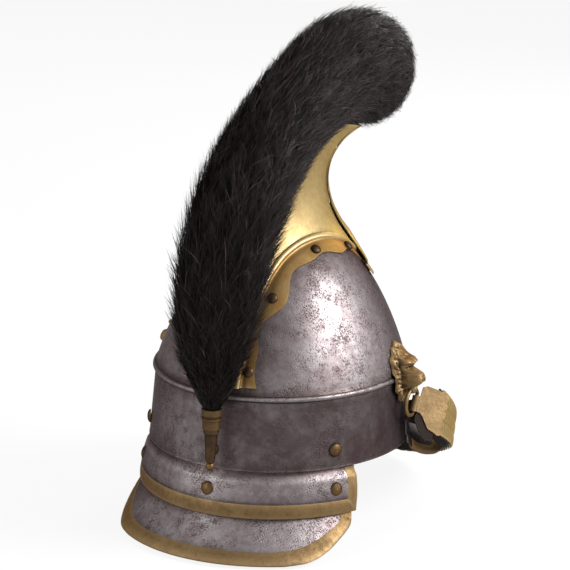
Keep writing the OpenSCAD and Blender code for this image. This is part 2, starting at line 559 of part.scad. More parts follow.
// The lion boss: a pressed mask whose back follows the skull
post_r = 2.6;
boss_rings = 10;
boss_spokes = 38;
function bump(y, z, y0, z0, wy, wz) = exp(-pow((y - y0)/wy, 2) - pow((z - z0)/wz, 2));
function plateau(y, z, y0, z0, wy, wz) = exp(-pow(pow((y - y0)/wy, 2) + pow((z - z0)/wz, 2), 2));
function boss_edge(a) = 1 + 0.055*cos(11*a) + 0.03*cos(7*a + 40);
function wall_x(u, y) = sqrt(pow(skull_half_w + u, 2) - pow(y/pull(y), 2));
function back_u(z) = let (top = bead_r - band_lean + 1.0)
    z < bead_h + 2 ? max(top, dome_u(z) + 0.6) : max(dome_u(z) + 0.6, top - (z - bead_h - 2)*1.1);
// Height of the face over its base, by ring r from 0 to 1 and direction a
function face_h(r, a, y, dz) = let (m = abs(y))
    1.6 + 3.4*sqrt(max(0, 1 - r*r)) + 1.3*sin(180*min(1, r*1.05))*cos(11*a + 150*r)*min(1, r*1.6)
    + (boss_out - 13)*plateau(y, dz, 0, -0.5, 9.5, 13)
    + (boss_out - 14)*plateau(y, dz, 0, -4.5, 6.4, 5.6)
    + 3*bump(y, dz, 0, -2.2, 2.6, 2.8) + 3.6*bump(m, dz, 4.2, 7.2, 3.4, 2.8)
    - 3.6*bump(m, dz, 5.0, 2.8, 2.3, 1.9) + 2.6*bump(m, dz, 10.4, 12.5, 2.4, 3)
    - 5*bump(y, dz, 0, -10.4, 5.2, 1.9);
function boss_pt(r, a, top) = let (k = r*boss_edge(a), y = boss_half_w*k*cos(a),
    dz = boss_half_h*k*sin(a), z = boss_z + dz, ub = back_u(z),
    uf = max(ub + 1.3, -0.5 - 0.16*(z - 40) + face_h(r, a, y, dz)))
    [wall_x(top ? uf : ub, y + boss_y), y + boss_y, z];
module mask() {
    n = boss_spokes; m = boss_rings;
    top = [for (i = [1:m]) for (j = [0:n - 1]) boss_pt(i/m, 360*j/n, true)];
    bot = [for (i = [1:m]) for (j = [0:n - 1]) boss_pt(i/m, 360*j/n, false)];
    o = n*m;
    c0 = 2*o; c1 = 2*o + 1;
    polyhedron(points = concat(top, bot, [boss_pt(0, 0, true), boss_pt(0, 0, false)]),
        faces = concat(
            [for (j = [0:n - 1]) [c0, (j + 1) % n, j]],
            [for (j = [0:n - 1]) [c1, o + j, o + (j + 1) % n]],
            flat([for (i = [0:m - 2]) for (j = [0:n - 1]) let (k = (j + 1) % n)
                quad(i*n + j, i*n + k, (i + 1)*n + k, (i + 1)*n + j, true)]),
            flat([for (i = [0:m - 2]) for (j = [0:n - 1]) let (k = (j + 1) % n)
                quad(o + i*n + j, o + i*n + k, o + (i + 1)*n + k, o + (i + 1)*n + j, false)]),
            flat([for (j = [0:n - 1]) let (k = (j + 1) % n, i = m - 1)
                quad(i*n + j, i*n + k, o + i*n + k, o + i*n + j, true)])));
}
module lion_boss() color(brass) difference() {
    mask();
    translate([ring_x, boss_y, ring_z + ring_r]) hole(eye_r + rattle, 2*(ring_x - 94));
    translate([ring_x - wire_r - 1.6, boss_y - 30, ring_z - 30]) cube([60, 60, 30 + ring_r - 4]);
}
module lion_boss_right() lion_boss();
module lion_boss_left() mirror([1, 0, 0]) lion_boss();

// The staple through the skull, whose eye holds the ring
eye_r = 3.9;
module staple() color(brass) difference() {
    translate([0, boss_y, ring_z + ring_r]) union() {
        translate([ring_x, 0, 0]) sphere(eye_r, $fn = 48);
        translate([nut_x - nut_t - 0.5, 0, 0]) rotate([0, 90, 0])
            cylinder(ring_x - nut_x + nut_t, post_r, post_r, $fn = 36);
    }
    translate([ring_x, boss_y, ring_z]) rotate([0, 90, 0]) rotate_extrude($fn = 72)
        translate([ring_r, 0]) circle(wire_r + rattle, $fn = 36);
}
module ring_staple_right() staple();
module ring_staple_left() mirror([1, 0, 0]) staple();
// Distance of the nut's outer face from the middle of the helmet, and its thickness
nut_x = wall_x(dome_u(ring_z + ring_r) - skull_t - 0.7, boss_y);
nut_t = 1.8;
module staple_nuts() color(steel) for (m = [0, 1]) mirror([m, 0, 0])
    translate([nut_x, boss_y, ring_z + ring_r])
        rotate([0, -90, 0]) difference() {
            cylinder(nut_t, 4.5, 4.5, $fn = 6);
            translate([0, 0, -1]) cylinder(5, post_r + 0.1, post_r + 0.1, $fn = 36);
        }

// The ring: three quarters of a circle closed by a straight bar
bar_y = 6.5;
bar_a = acos(bar_y/ring_r);
bar_half = ring_r*sin(bar_a);
module ring() color(brass) translate([ring_x, boss_y, ring_z]) rotate([-arch_tilt, 0, 0]) {
    rotate([0, 90, 0]) rotate([0, 0, 90 + bar_a]) rotate_extrude(angle = 360 - 2*bar_a, $fn = 96)
        translate([ring_r, 0]) circle(wire_r, $fn = 30);
    translate([0, bar_y, -bar_half]) cylinder(2*bar_half, wire_r, wire_r, $fn = 30);
    for (s = [1, -1]) translate([0, bar_y, s*bar_half]) sphere(wire_r, $fn = 30);
}
module ring_right() ring();
module ring_left() mirror([1, 0, 0]) ring();

// The chin scales, drawn flat round the arch and then tilted about the rings
// The arch is half an ellipse: t is the angle round its stretched circle
arch_stretch = arch_len/arch_half_w;
// Distance forward of the rings at which the arch begins
arch_start = 21;
start_t = asin(arch_start/arch_len);
function arch_pt(t, u) = let (r = arch_half_w + u) [r*cos(t), arch_stretch*r*sin(t)];
function arch_a(t) = atan2(sin(t), arch_stretch*cos(t));
// Angles of the scales, one pitch apart along the arch
function arch_step(t) = scale_pitch/arch_half_w/norm([sin(t), arch_stretch*cos(t)])*180/PI;
function arch_run(t, n) = n == 0 ? [] : concat([t], arch_run(t + arch_step(t), n - 1));
// The strap narrows from the ring to a place short of the buckle
taper_end = arch_len - 60;
function width_at(y) = strap_w + (strap_end_w - strap_w)*min(1, max(0, (y - arch_start)
    /(taper_end - arch_start)));
// Lean of the strap's face at t, in degrees
function arch_lean(t) = atan(strap_flare*arch_stretch/norm([arch_stretch*cos(t), sin(t)]));
module tilted() translate([0, boss_y, ring_z]) rotate([-arch_tilt, 0, 0]) children();
module leather_strip(out) intersection() {
    scale([1, arch_stretch, 1]) rotate_extrude($fn = 200) translate([arch_half_w + out, 0])
        polygon([for (e = [[-leather_t, -1], [0, -1], [0, 1], [-leather_t, 1]])
            [e[0] - e[1]*strap_flare*strap_w/2, e[1]*strap_w/2]]);
    translate([strap_gap, arch_start, -50]) cube([300, 300, 100]);
    // tapered outline seen from the side
    translate([300, 0, 0]) rotate([90, 0, -90]) linear_extrude(600) polygon([
        [-300, -strap_end_w/2], [-taper_end, -strap_end_w/2], [-arch_start, -strap_w/2],
        [0, -strap_w/2], [0, strap_w/2], [-arch_start, strap_w/2],
        [-taper_end, strap_end_w/2], [-300, strap_end_w/2]]);
}
module strap_leather_right() color(leather) tilted() leather_strip(-seat);
module strap_leather_left() color(leather) tilted() mirror([1, 0, 0]) leather_strip(-seat);

// One scale lying along +Y with its face to +X, lobed at its free end
scale_len = scale_pitch + 3.5;
module scale_plate(w) {
    lobes = 3; r = w/lobes/2;
    rotate([90, 0, 90]) linear_extrude(scale_t) union() {
        translate([0, -w/2]) square([scale_len - r, w]);
        for (k = [0:lobes - 1]) translate([scale_len - r, -w/2 + r*(2*k + 1)]) circle(r, $fn = 24);
    }
}
scale_at = [for (t = arch_run(start_t + 0.8, 60)) if (arch_half_w*cos(t) > 30 && t < 90) t];
module scale_row() for (t = scale_at) {
    p = arch_pt(t, seat);
    translate([p[0], p[1], 0]) rotate([0, 0, arch_a(t) - 5]) rotate([0, -arch_lean(t), 0])
        scale_plate(width_at(p[1]) + 2);
}
module scales_right() color(brass) tilted() scale_row();
module scales_left() color(brass) tilted() mirror([1, 0, 0]) scale_row();

// First plate, rolled round the ring's bar and riveted over the strap's end
strap_gap = 0.6;
roll_r = wire_r + slide + 1.2;
roll_half = bar_half - wire_r - 0.6;
module hinge_plate() color(brass) tilted() {
    p = arch_pt(start_t, 2.6 + scale_t);
    root_x = ring_x + roll_r - 0.85;
    difference() {
        union() {
            translate([ring_x, bar_y, -roll_half]) cylinder(2*roll_half, roll_r, roll_r, $fn = 40);
            a = atan2(p[1] - bar_y, p[0] - root_x);
            L = norm([p[0] - root_x, p[1] - bar_y]);
            w = strap_w/2 + 1; low = -w - 2; top = w*0.8;
            translate([root_x, bar_y, 0]) rotate([90, 0, a]) rotate([-arch_lean(start_t)/2, 0, 0])
                linear_extrude(1.1) {
                polygon([[0, -roll_half], [3, -roll_half], [6, -w*0.5], [12, -w*0.95], [L, low],
                    [L, top], [14, w*0.87], [5, w*0.9], [1.5, w*0.8], [1, roll_half], [0, roll_half]]);
                for (k = [0:4]) translate([L - 0.5, low + (top - low)*(k + 0.5)/5])
                    circle((top - low)/10, $fn = 24);
            }
        }
        translate([ring_x, bar_y, -50]) cylinder(100, wire_r + slide, wire_r + slide, $fn = 36);
    }
}
module hinge_plate_right() hinge_plate();
module hinge_plate_left() mirror([1, 0, 0]) hinge_plate();

// Buckle on the left strap's end, at the front of the arch
buckle_out = arch_len + 0.4;
module buckle_frame() color(brass) tilted() translate([0, buckle_out, 0])
    rotate([arch_lean(90), 0, 0]) difference() {
    w = strap_end_w/2 + 5;
    translate([-13, 0, -w]) cube([20, 2.2, 2*w]);
    translate([-10, -1, -w + 3]) cube([14, 5, 2*w - 6]);
}
module buckle_tongue() color(brass) tilted() translate([-9.2, buckle_out + 3.5, 0])
    rotate([0, 90, 0]) cylinder(14.5, 1.1, 1.1, $fn = 24);
module strap_keeper() color(leather) tilted() {
    t = acos(12.5/arch_half_w); p = arch_pt(t, -seat); a = arch_a(t);
    w = strap_end_w/2 + 2*slide; d = 1.3;
    thick = leather_t*norm([cos(a), arch_stretch*sin(a)]) + slide;
    translate([p[0], p[1], 0]) rotate([0, 0, a]) rotate([0, -arch_lean(t), 0]) difference() {
        translate([-thick - d, -3, -w - d]) cube([thick + slide + 2*d, 6, 2*(w + d)]);
        translate([-thick, -4, -w]) cube([thick + slide, 8, 2*w]);
    }
}

// The lining
module sweatband() color(leather) closed_sweep() polygon([
    [-sweat_in, band_low], [-sweat_in + band_t, band_low], [-sweat_in + band_t, upper_top + 2],
    [-skull_t - band_lean*0.52 - 0.35, upper_top + 7], [-skull_t - band_lean*0.72 - 0.35, band_high],
    [-skull_t - band_lean*0.72 - 0.35 - band_t, band_high],
    [-skull_t - band_lean*0.6 - 0.45 - band_t, upper_top + 8], [-sweat_in, upper_top + 3.4]]);
tongue_count = 8;
// Each tongue stands on the sweatband's upper edge, leans in past the nuts and
// follows the dome: height and distance from the rim of its outer face
function tongue_u(h) = -skull_t - band_lean - band_t - 1.6 + dome_u(dome_low + h*86)*0.92;
tongue_line = concat([[-skull_t - band_lean*0.72 - 0.45, band_high + seat],
    [-skull_t - band_lean*0.72 - 0.55, band_high + 1.4], [-skull_t - band_lean - 2.8, band_high + 4]],
    [for (i = [1:7]) [tongue_u(i/7), band_high + 2 + i*13.5]]);
module lining_tongues() color(leather) for (k = [0:tongue_count - 1]) {
    P = [for (r = tongue_line) [for (j = [0:3])
        let (a = 360*(k + 0.5)/tongue_count + (j/3 - 0.5)*(40 - (r[1] - band_high)*0.095),
            q = oval_pt(a, r[0])) [q[0], q[1], r[1]]]];
    sheet(P, grid_off(P, tongue_t), false);
}

skull();
peak();
peak_trim();
peak_rivets();
comb_right();
comb_left();
comb_front();
comb_rail();
comb_rivets();
crest();
ferrule_collar();
ferrule_tip();
ferrule_knob();
lion_boss_right();
lion_boss_left();
ring_staple_right();
ring_staple_left();
staple_nuts();
neck_rivets();
upper_lame();
upper_lame_trim();
lame_rivets();
lower_lame();
lower_lame_trim();
ring_right();
ring_left();
hinge_plate_right();
hinge_plate_left();
strap_leather_right();
strap_leather_left();
scales_right();
scales_left();
buckle_frame();
buckle_tongue();
strap_keeper();
sweatband();
lining_tongues();
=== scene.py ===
# %% [markdown]
# A cuirassier helmet. The CAD model gives the frame: where each piece sits and how it
# moves. This lesson dresses that frame with finer meshes and with materials made from
# nodes. All shapes are worked out in millimetres and turned into metres once, when a
# mesh is made.
#
# +Y is the front of the helmet, +Z is up, and the origin is the middle of the oval
# opening at the lower rim of the skull.

# %% The frame
import math

import bmesh
import bpy
import numpy as np
from mathutils import Matrix, Vector


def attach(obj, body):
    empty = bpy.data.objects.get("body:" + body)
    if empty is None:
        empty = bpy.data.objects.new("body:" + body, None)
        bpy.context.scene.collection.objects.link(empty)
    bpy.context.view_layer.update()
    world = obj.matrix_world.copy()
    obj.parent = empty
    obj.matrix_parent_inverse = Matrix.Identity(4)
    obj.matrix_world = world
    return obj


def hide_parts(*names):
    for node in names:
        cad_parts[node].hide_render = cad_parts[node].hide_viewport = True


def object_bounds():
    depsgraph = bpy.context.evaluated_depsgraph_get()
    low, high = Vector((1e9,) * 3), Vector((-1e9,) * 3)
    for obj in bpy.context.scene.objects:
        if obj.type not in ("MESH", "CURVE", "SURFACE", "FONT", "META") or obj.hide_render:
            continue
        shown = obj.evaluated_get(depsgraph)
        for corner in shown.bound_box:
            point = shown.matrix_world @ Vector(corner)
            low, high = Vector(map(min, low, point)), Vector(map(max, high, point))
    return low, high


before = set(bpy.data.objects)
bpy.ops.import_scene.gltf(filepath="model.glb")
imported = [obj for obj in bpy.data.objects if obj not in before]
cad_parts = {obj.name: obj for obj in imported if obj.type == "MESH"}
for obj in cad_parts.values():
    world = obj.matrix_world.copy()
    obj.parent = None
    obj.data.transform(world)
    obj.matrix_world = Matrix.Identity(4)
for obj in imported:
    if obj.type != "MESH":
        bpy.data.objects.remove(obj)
cad_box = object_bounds()
MM = 0.001  # a millimetre in metres
scene = bpy.context.scene
scene.view_settings.view_transform = "Standard"

# %% [markdown]
# The photograph was taken from behind the helmet and to its right, a little above,
# with a long lens. A camera is a place and three directions, so the matrix is
# written out: right, up and back are its columns. The picture is square, and the
# lens is the length that gives the same perspective.

# %% Camera
TURN, RISE, ROLL = (math.radians(a) for a in (26.27, 14.31, 2.21))
# in mm, with how far the picture's middle lies beside the origin
DISTANCE, OFF_RIGHT, OFF_UP = 2200, 2.95, 111.18
FOCAL_PX, PICTURE_PX, SENSOR = 2834, 570, 36
flat_right = Vector((math.cos(TURN), math.sin(TURN), 0))
flat_up = Vector((-math.sin(TURN) * math.sin(RISE), math.cos(TURN) * math.sin(RISE), math.cos(RISE)))
to_camera = flat_right.cross(flat_up)
right = flat_right * math.cos(ROLL) + flat_up * math.sin(ROLL)
up = flat_up * math.cos(ROLL) - flat_right * math.sin(ROLL)
lens = bpy.data.cameras.new("camera")
lens.sensor_width, lens.lens = SENSOR, FOCAL_PX / PICTURE_PX * SENSOR
lens.clip_start, lens.clip_end = 0.05, 20
camera = bpy.data.objects.new("camera", lens)
scene.collection.objects.link(camera)
spot = (to_camera * DISTANCE + right * OFF_RIGHT + up * OFF_UP) * MM
camera.matrix_world = Matrix.Translation(spot) @ Matrix((right, up, to_camera)).transposed().to_4x4()
scene.camera = camera
print("camera at", [round(c, 3) for c in spot], "lens", round(lens.lens, 1), "mm")

# %% [markdown]
# Materials and the world are trees of nodes: each node works out a number or a colour
# and hands it on by a wire. Written out in full such a tree is long, so a few helpers
# add a node, fill its inputs, mix two colours and do a sum.

# %% Helpers for node trees
SUMS = {"+": "ADD", "-": "SUBTRACT", "*": "MULTIPLY", "/": "DIVIDE", "max": "MAXIMUM"}


def put(value, socket):
    """Fill a socket with a wire from another node's output, a number, or a colour of three numbers."""
    if hasattr(value, "node"):
        socket.id_data.links.new(value, socket)
    else:
        socket.default_value = (*value, 1) if isinstance(value, tuple) else value


def feed(n, **inputs):
    """Fill a node's inputs by name, with _ for a space."""
    for label, value in inputs.items():
        put(value, n.inputs[label.replace("_", " ")])


def node(tree, kind, **settings):
    """A new node; each setting is one of its properties or, with _ for a space, one of its inputs."""
    n = tree.nodes.new(kind)
    for key, value in settings.items():
        if hasattr(n, key):
            setattr(n, key, value)
        else:
            feed(n, **{key: value})
    return n


def ramp(tree, source, stops):
    """A colour for each number of source, blended between stops of (number, colour)."""
    r = node(tree, "ShaderNodeValToRGB", Fac=source)
    e = r.color_ramp.elements
    while len(e) < len(stops):
        e.new(0.5)
    for i, (number, colour) in enumerate(stops):
        e[i].position, e[i].color = number, (*colour, 1)
    return r.outputs["Color"]


def mix(tree, fac, a, b):
    """Colour a where fac is 0, colour b where it is 1."""
    return node(tree, "ShaderNodeMix", data_type="RGBA", Factor=fac, A=a, B=b).outputs["Result"]


def calc(tree, a, sign, b, clamp=False):
    """The sum a sign b; clamp keeps it between 0 and 1."""
    m = node(tree, "ShaderNodeMath", operation=SUMS[sign], use_clamp=clamp)
    put(a, m.inputs[0])
    put(b, m.inputs[1])
    return m.outputs[0]


print("node helpers ready")

# %% [markdown]
# A product is shown on a pale floor in soft light. The floor and the world are white
# for the camera and for reflections, while the light that they give stays at a plain
# level, so that a colour renders about as it is written. The floor still takes the
# shadow. Both use one tree of nodes: it shows one shader and lights the scene with
# another.

# %% Floor and world
FLOOR_SIZE, FLOOR_GAP, FLOOR_GREY, FLOOR_GLOW, WORLD_LIGHT = 6, 0.0005, 0.86, 0.88, 0.42
WHITE = (1, 1, 1)


def show_and_light(tree, end, shown, light, share):
    """What is seen directly or in a reflection is shown, by its share; the rest is light."""
    path = node(tree, "ShaderNodeLightPath").outputs
    seen = calc(tree, path["Is Camera Ray"], "max", path["Is Glossy Ray"])
    seen = calc(tree, seen, "max", path["Is Transmission Ray"])
    blend = node(tree, "ShaderNodeMixShader", Fac=calc(tree, seen, "*", share))
    put(light.outputs[0], blend.inputs[1])
    put(shown.outputs[0], blend.inputs[2])
    node(tree, end, Surface=blend.outputs[0])


floor_z = cad_box[0][2] - FLOOR_GAP
corners = [(x * FLOOR_SIZE, y * FLOOR_SIZE, floor_z) for x, y in ((-1, -1), (1, -1), (1, 1), (-1, 1))]
floor_mesh = bpy.data.meshes.new("floor")
floor_mesh.from_pydata(corners, [], [(0, 1, 2, 3)])
floor = bpy.data.objects.new("floor", floor_mesh)
scene.collection.objects.link(floor)
floor_mat = bpy.data.materials.new("white floor")
floor_mat.use_nodes = True
tree = floor_mat.node_tree
tree.nodes.clear()
show_and_light(tree, "ShaderNodeOutputMaterial", node(tree, "ShaderNodeEmission", Color=WHITE, Strength=1.0),
               node(tree, "ShaderNodeBsdfDiffuse", Color=(FLOOR_GREY, FLOOR_GREY, FLOOR_GREY)), FLOOR_GLOW)
floor_mesh.materials.append(floor_mat)

scene.world = bpy.data.worlds.new("studio")
scene.world.use_nodes = True
tree = scene.world.node_tree
tree.nodes.clear()
show_and_light(tree, "ShaderNodeOutputWorld", node(tree, "ShaderNodeBackground", Color=WHITE, Strength=1.0),
               node(tree, "ShaderNodeBackground", Color=WHITE, Strength=WORLD_LIGHT), 1.0)
print("floor at", round(floor_z, 4), "m")

# %% [markdown]
# Three round lamps light the helmet: a strong one from the right of the camera, a weak
# one from its left that softens the shadows, and one behind that draws a bright line
# along the upper edges. Their places are given by the camera's own directions.

# %% Lamps
AIM = Vector((0, 0, 0.08))


def lamp(name, at, size, watts):
    """A round lamp that faces the middle of the skull; its size is in metres."""
    data = bpy.data.lights.new(name, "AREA")
    data.shape, data.size, data.energy = "DISK", size, watts
    ob = bpy.data.objects.new(name, data)
    scene.collection.objects.link(ob)
    ob.location = at
    ob.rotation_euler = (AIM - at).to_track_quat("-Z", "Y").to_euler()


lamp("key lamp", to_camera * 0.65 + flat_right * 1.5 + flat_up * 0.95, 1.1, 49)
lamp("fill lamp", to_camera * 1.2 - flat_right * 1.5 + flat_up * 0.5, 1.2, 12)
lamp("back lamp", -to_camera * 1.3 + flat_right * 0.8 + flat_up * 1.3, 1.0, 16)
print("lamps:", len(bpy.data.lights))

# %% [markdown]
# The skull is an oval: a circle of the rim's half width, stretched along Y, more
# behind than in front. Every piece that lies on it uses the same few functions, so
# the meshes meet the CAD model without fitting. A place on the skull is given by a
# direction, a height and u, its distance from the rim's oval, out being positive.

# %% The oval and the dome
HALF_W, BACK_L, FRONT_L, DOME_TOP = 97.3, 115.9, 102.0, 165.0
BEAD_H, LEAN, BEAD_R, STEEL = 56.0, 3.5, 2.2, 1.2
DOME_LOW = BEAD_H + 1
SEAT = 0.25


def pull(side):
    """How much longer than wide the oval is, in front (side over 0) and behind."""
    return np.where(side > 0, FRONT_L / HALF_W, BACK_L / HALF_W)


def level(x, y):
    """The u of a point, seen from above."""
    return np.hypot(x, y / pull(y)) - HALF_W


def oval(a, u, z):
    """Points that face direction a (degrees) on the oval grown by u, at height z."""
    a = np.radians(a)
    k = pull(np.sin(a))
    f = np.arctan2(k * np.sin(a), np.cos(a))
    r = HALF_W + u
    return np.stack(np.broadcast_arrays(r * np.cos(f), k * r * np.sin(f), z), -1)


def dome_u(z):
    """The u of the skull's outside at height z: a band that leans in, then the dome."""
    z = np.asarray(z, float)
    t = np.clip((z - DOME_LOW) / (DOME_TOP - DOME_LOW), 0, 1)
    high = -LEAN - (HALF_W - LEAN) * (1 - (1 - t**1.15) ** (1 / 2.3))
    return np.where(z <= DOME_LOW, -LEAN * np.maximum(z, -20) / DOME_LOW, high)


def unit(v):
    return v / np.maximum(np.linalg.norm(v, axis=-1, keepdims=True), 1e-9)


def spline(stops, s):
    """Smooth run through a list of numbers or points, s from 0 to 1."""
    stops = np.asarray(stops, float)
    n = len(stops) - 1
    x = np.clip(np.asarray(s, float), 0, 0.99999) * n
    i = np.floor(x).astype(int)
    t = x - i
    if stops.ndim > 1:
        t = t[..., None]
    a, b, c, d = (stops[np.clip(i + k, 0, n)] for k in (-1, 0, 1, 2))
    return 0.5 * (2 * b + (c - a) * t + (2 * a - 5 * b + 4 * c - d) * t**2
                  + (3 * b - 3 * c + d - a) * t**3)


def normals(grid):
    """Unit normals of a grid of points."""
    return unit(np.cross(np.gradient(grid, axis=0), np.gradient(grid, axis=1)))


print("dome is", round(float(HALF_W + dome_u(100)), 1), "mm in half width at 100 mm")

# %% [markdown]
# Sheet metal is a surface with a thickness. One helper turns a grid of points into a
# closed shell, and another closes a run of rings into a tube or bar. A third makes the
# mesh, gives it a material, lets it ride on its CAD body and says which CAD piece it
# stands for.

# %% Mesh makers
MATERIALS = {}


def place(mesh, slot, body):
    """Show a mesh as a smooth object with its material, riding on its CAD body."""
    mesh.polygons.foreach_set("use_smooth", [True] * len(mesh.polygons))
    mesh.materials.append(MATERIALS[slot])
    ob = bpy.data.objects.new(mesh.name, mesh)
    scene.collection.objects.link(ob)
    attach(ob, body)
    return ob


def piece(name, points, faces, slot, body, stands_for, smooth=50):
    """A clean mesh that stands for a CAD node; edges sharper than smooth degrees stay sharp."""
    mesh = bpy.data.meshes.new(name)
    mesh.from_pydata(np.asarray(points, float).reshape(-1, 3) * MM, [], faces)
    bm = bmesh.new()
    bm.from_mesh(mesh)
    bmesh.ops.remove_doubles(bm, verts=bm.verts, dist=1e-6)
    bmesh.ops.recalc_face_normals(bm, faces=bm.faces)
    bm.to_mesh(mesh)
    bm.free()
    ob = place(mesh, slot, body)
    mesh.set_sharp_from_angle(angle=math.radians(smooth))
    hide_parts(stands_for)
    return ob


def paint(ob, label, rule):
    """A number at every vertex: one for all, or worked out from its place in millimetres."""
    at = np.empty(len(ob.data.vertices) * 3)
    ob.data.vertices.foreach_get("co", at)
    x, y, z = at.reshape(-1, 3).T / MM
    values = np.clip(rule(x, y, z) if callable(rule) else rule, 0, 1)
    values = np.broadcast_to(values, x.shape).astype(float)
    ob.data.attributes.new(label, "FLOAT", "POINT").data.foreach_set("value", values)


def grid_faces(n, m, start=0, wrap_n=False, wrap_m=False):
    """The quads of a grid of n rows and m columns whose first point has the number start."""
    i, j = np.meshgrid(np.arange(n if wrap_n else n - 1), np.arange(m if wrap_m else m - 1), indexing="ij")
    i2, j2 = (i + 1) % n, (j + 1) % m
    q = np.stack([i * m + j, i * m + j2, i2 * m + j2, i2 * m + j], -1).reshape(-1, 4) + start
    return q.tolist()


def shell(grid, thick, out=None):
    """Closed shell between a grid and the same grid moved by thick along its normals."""
    n, m, _ = grid.shape
    other = grid + (normals(grid) if out is None else out) * thick
    k = n * m
    faces = grid_faces(n, m) + [f[::-1] for f in grid_faces(n, m, k)]
    rim = [i * m for i in range(n)] + [(n - 1) * m + j for j in range(1, m)]
    rim += [i * m + m - 1 for i in range(n - 2, -1, -1)] + [j for j in range(m - 2, 0, -1)]
    faces += [[a, b, b + k, a + k] for a, b in zip(rim, rim[1:] + rim[:1])]
    return np.concatenate([grid.reshape(-1, 3), other.reshape(-1, 3)]), faces


def bar(rings, closed=False):
    """Closed tube through rings of equal length; closed joins the last ring to the first."""
    n, m, _ = rings.shape
    faces = grid_faces(n, m, 0, closed, True)
    if not closed:
        faces += [list(range(m)), list(range((n - 1) * m, n * m))]
    return rings.reshape(-1, 3), faces


def join(parts):
    """Several (points, faces) pairs as one."""
    points, faces, k = [], [], 0
    for p, f in parts:
        points.append(np.asarray(p).reshape(-1, 3))
        faces += [[i + k for i in q] for q in f]
        k += len(points[-1])
    return np.concatenate(points), faces


print("mesh makers ready")

# %% [markdown]
# Old steel isn't one grey. It has soft clouds of brown and purple patina, small dark
# pits, and a fine grain from polishing. All the metals here share that kind of wear,
# so it is a node group that puts out three masks, and each metal mixes its own
# colours with them. Object coordinates are in metres, so the scales are per metre.

# %% Node group: patina
def new_group(name, inputs, outputs):
    """A node group with named numbers in and out, and the sockets that they come to inside it."""
    g = bpy.data.node_groups.new(name, "ShaderNodeTree")
    for label, value in inputs.items():
        g.interface.new_socket(label, in_out="INPUT", socket_type="NodeSocketFloat").default_value = value
    for label in outputs:
        g.interface.new_socket(label, in_out="OUTPUT", socket_type="NodeSocketFloat")
    return g, node(g, "NodeGroupInput").outputs, node(g, "NodeGroupOutput").inputs


def object_place(tree):
    """Where a point lies on its object, so that the marks ride with it."""
    return node(tree, "ShaderNodeTexCoord").outputs["Object"]


def noise(tree, vector, scale, detail=4.0, rough=0.55, warp=0.0):
    """Cloudy noise; scale is about the number of its clouds in a metre."""
    return node(tree, "ShaderNodeTexNoise", Vector=vector, Scale=scale, Detail=detail, Roughness=rough,
                Distortion=warp).outputs["Fac"]


def band(tree, value, low, high):
    """0 below low, 1 above high, smooth between."""
    return node(tree, "ShaderNodeMapRange", interpolation_type="SMOOTHSTEP", Value=value, From_Min=low,
                From_Max=high).outputs["Result"]


patina, given, result = new_group("patina", {"Cloud scale": 30.0, "Speck scale": 420.0, "Specks cover": 0.5},
                                  ["Clouds", "Specks", "Grain"])
where = object_place(patina)
big = noise(patina, where, given["Cloud scale"], 6.0, 0.62, warp=0.6)
mid = noise(patina, where, calc(patina, given["Cloud scale"], "*", 5.0), 5.0, 0.65)
clouds = calc(patina, calc(patina, big, "*", 0.65), "+", calc(patina, mid, "*", 0.35))
put(band(patina, clouds, 0.30, 0.74), result["Clouds"])
dots = noise(patina, where, given["Speck scale"], 3.0, 0.6)
near = noise(patina, where, calc(patina, given["Cloud scale"], "*", 2.5), 5.0, 0.7)
# a speck shows where its own noise and the noise around it add up to enough
total = calc(patina, dots, "+", calc(patina, near, "*", given["Specks cover"]))
put(band(patina, total, 0.84, 1.04), result["Specks"])
put(noise(patina, where, 1500.0, 3.0, 0.6), result["Grain"])
print("node group:", patina.name)

# %% [markdown]
# Handling keeps raised edges bright and leaves dirt in the hollows, and the hollows are
# also darkened as painted shade. Cycles' Pointiness tells ridges from hollows on a fine
# mesh, so a second group turns it into an edge mask and a hollow mask, both broken up
# by noise.

# %% Node group: edges and hollows
edges, given, result = new_group("edges and hollows", {"Spread": 0.03}, ["Edge", "Hollow"])
point = node(edges, "ShaderNodeNewGeometry").outputs["Pointiness"]
broken = calc(edges, calc(edges, noise(edges, object_place(edges), 260.0), "-", 0.5), "*", 0.03)
shape = calc(edges, calc(edges, point, "-", 0.5), "+", broken)
put(calc(edges, shape, "/", given["Spread"], clamp=True), result["Edge"])
put(calc(edges, calc(edges, shape, "*", -1.0), "/", given["Spread"], clamp=True), result["Hollow"])
print("node group:", edges.name)

# %% [markdown]
# Each metal is a Principled shader with its own colours for clean metal, patina, pits
# and worn edges, and a dark edge colour that is a painted reflection of dark
# surroundings. Roughness rises where the patina is thick, and a faint bump comes
# from the pits and the grain. Dirt and painted shade go in places that no texture
# knows, such as the foot of the comb or under a lame, so a mesh may carry a number at
# its vertices that darkens it.

# %% Metal materials
HOLLOW_DIRT_AND_SHADE, PIT_DEPTH, DENT_SCALE, EDGE_SPREAD = (0.05, 0.03, 0.02), 0.12 * MM, 330.0, 0.035


def new_material(slot, label):
    """An empty material for a slot: its tree and its Principled shader."""
    m = MATERIALS[slot] = bpy.data.materials.new(label)
    m.use_nodes = True
    return m.node_tree, m.node_tree.nodes["Principled BSDF"]


def shade(colour, share):
    return tuple(share * v for v in colour)


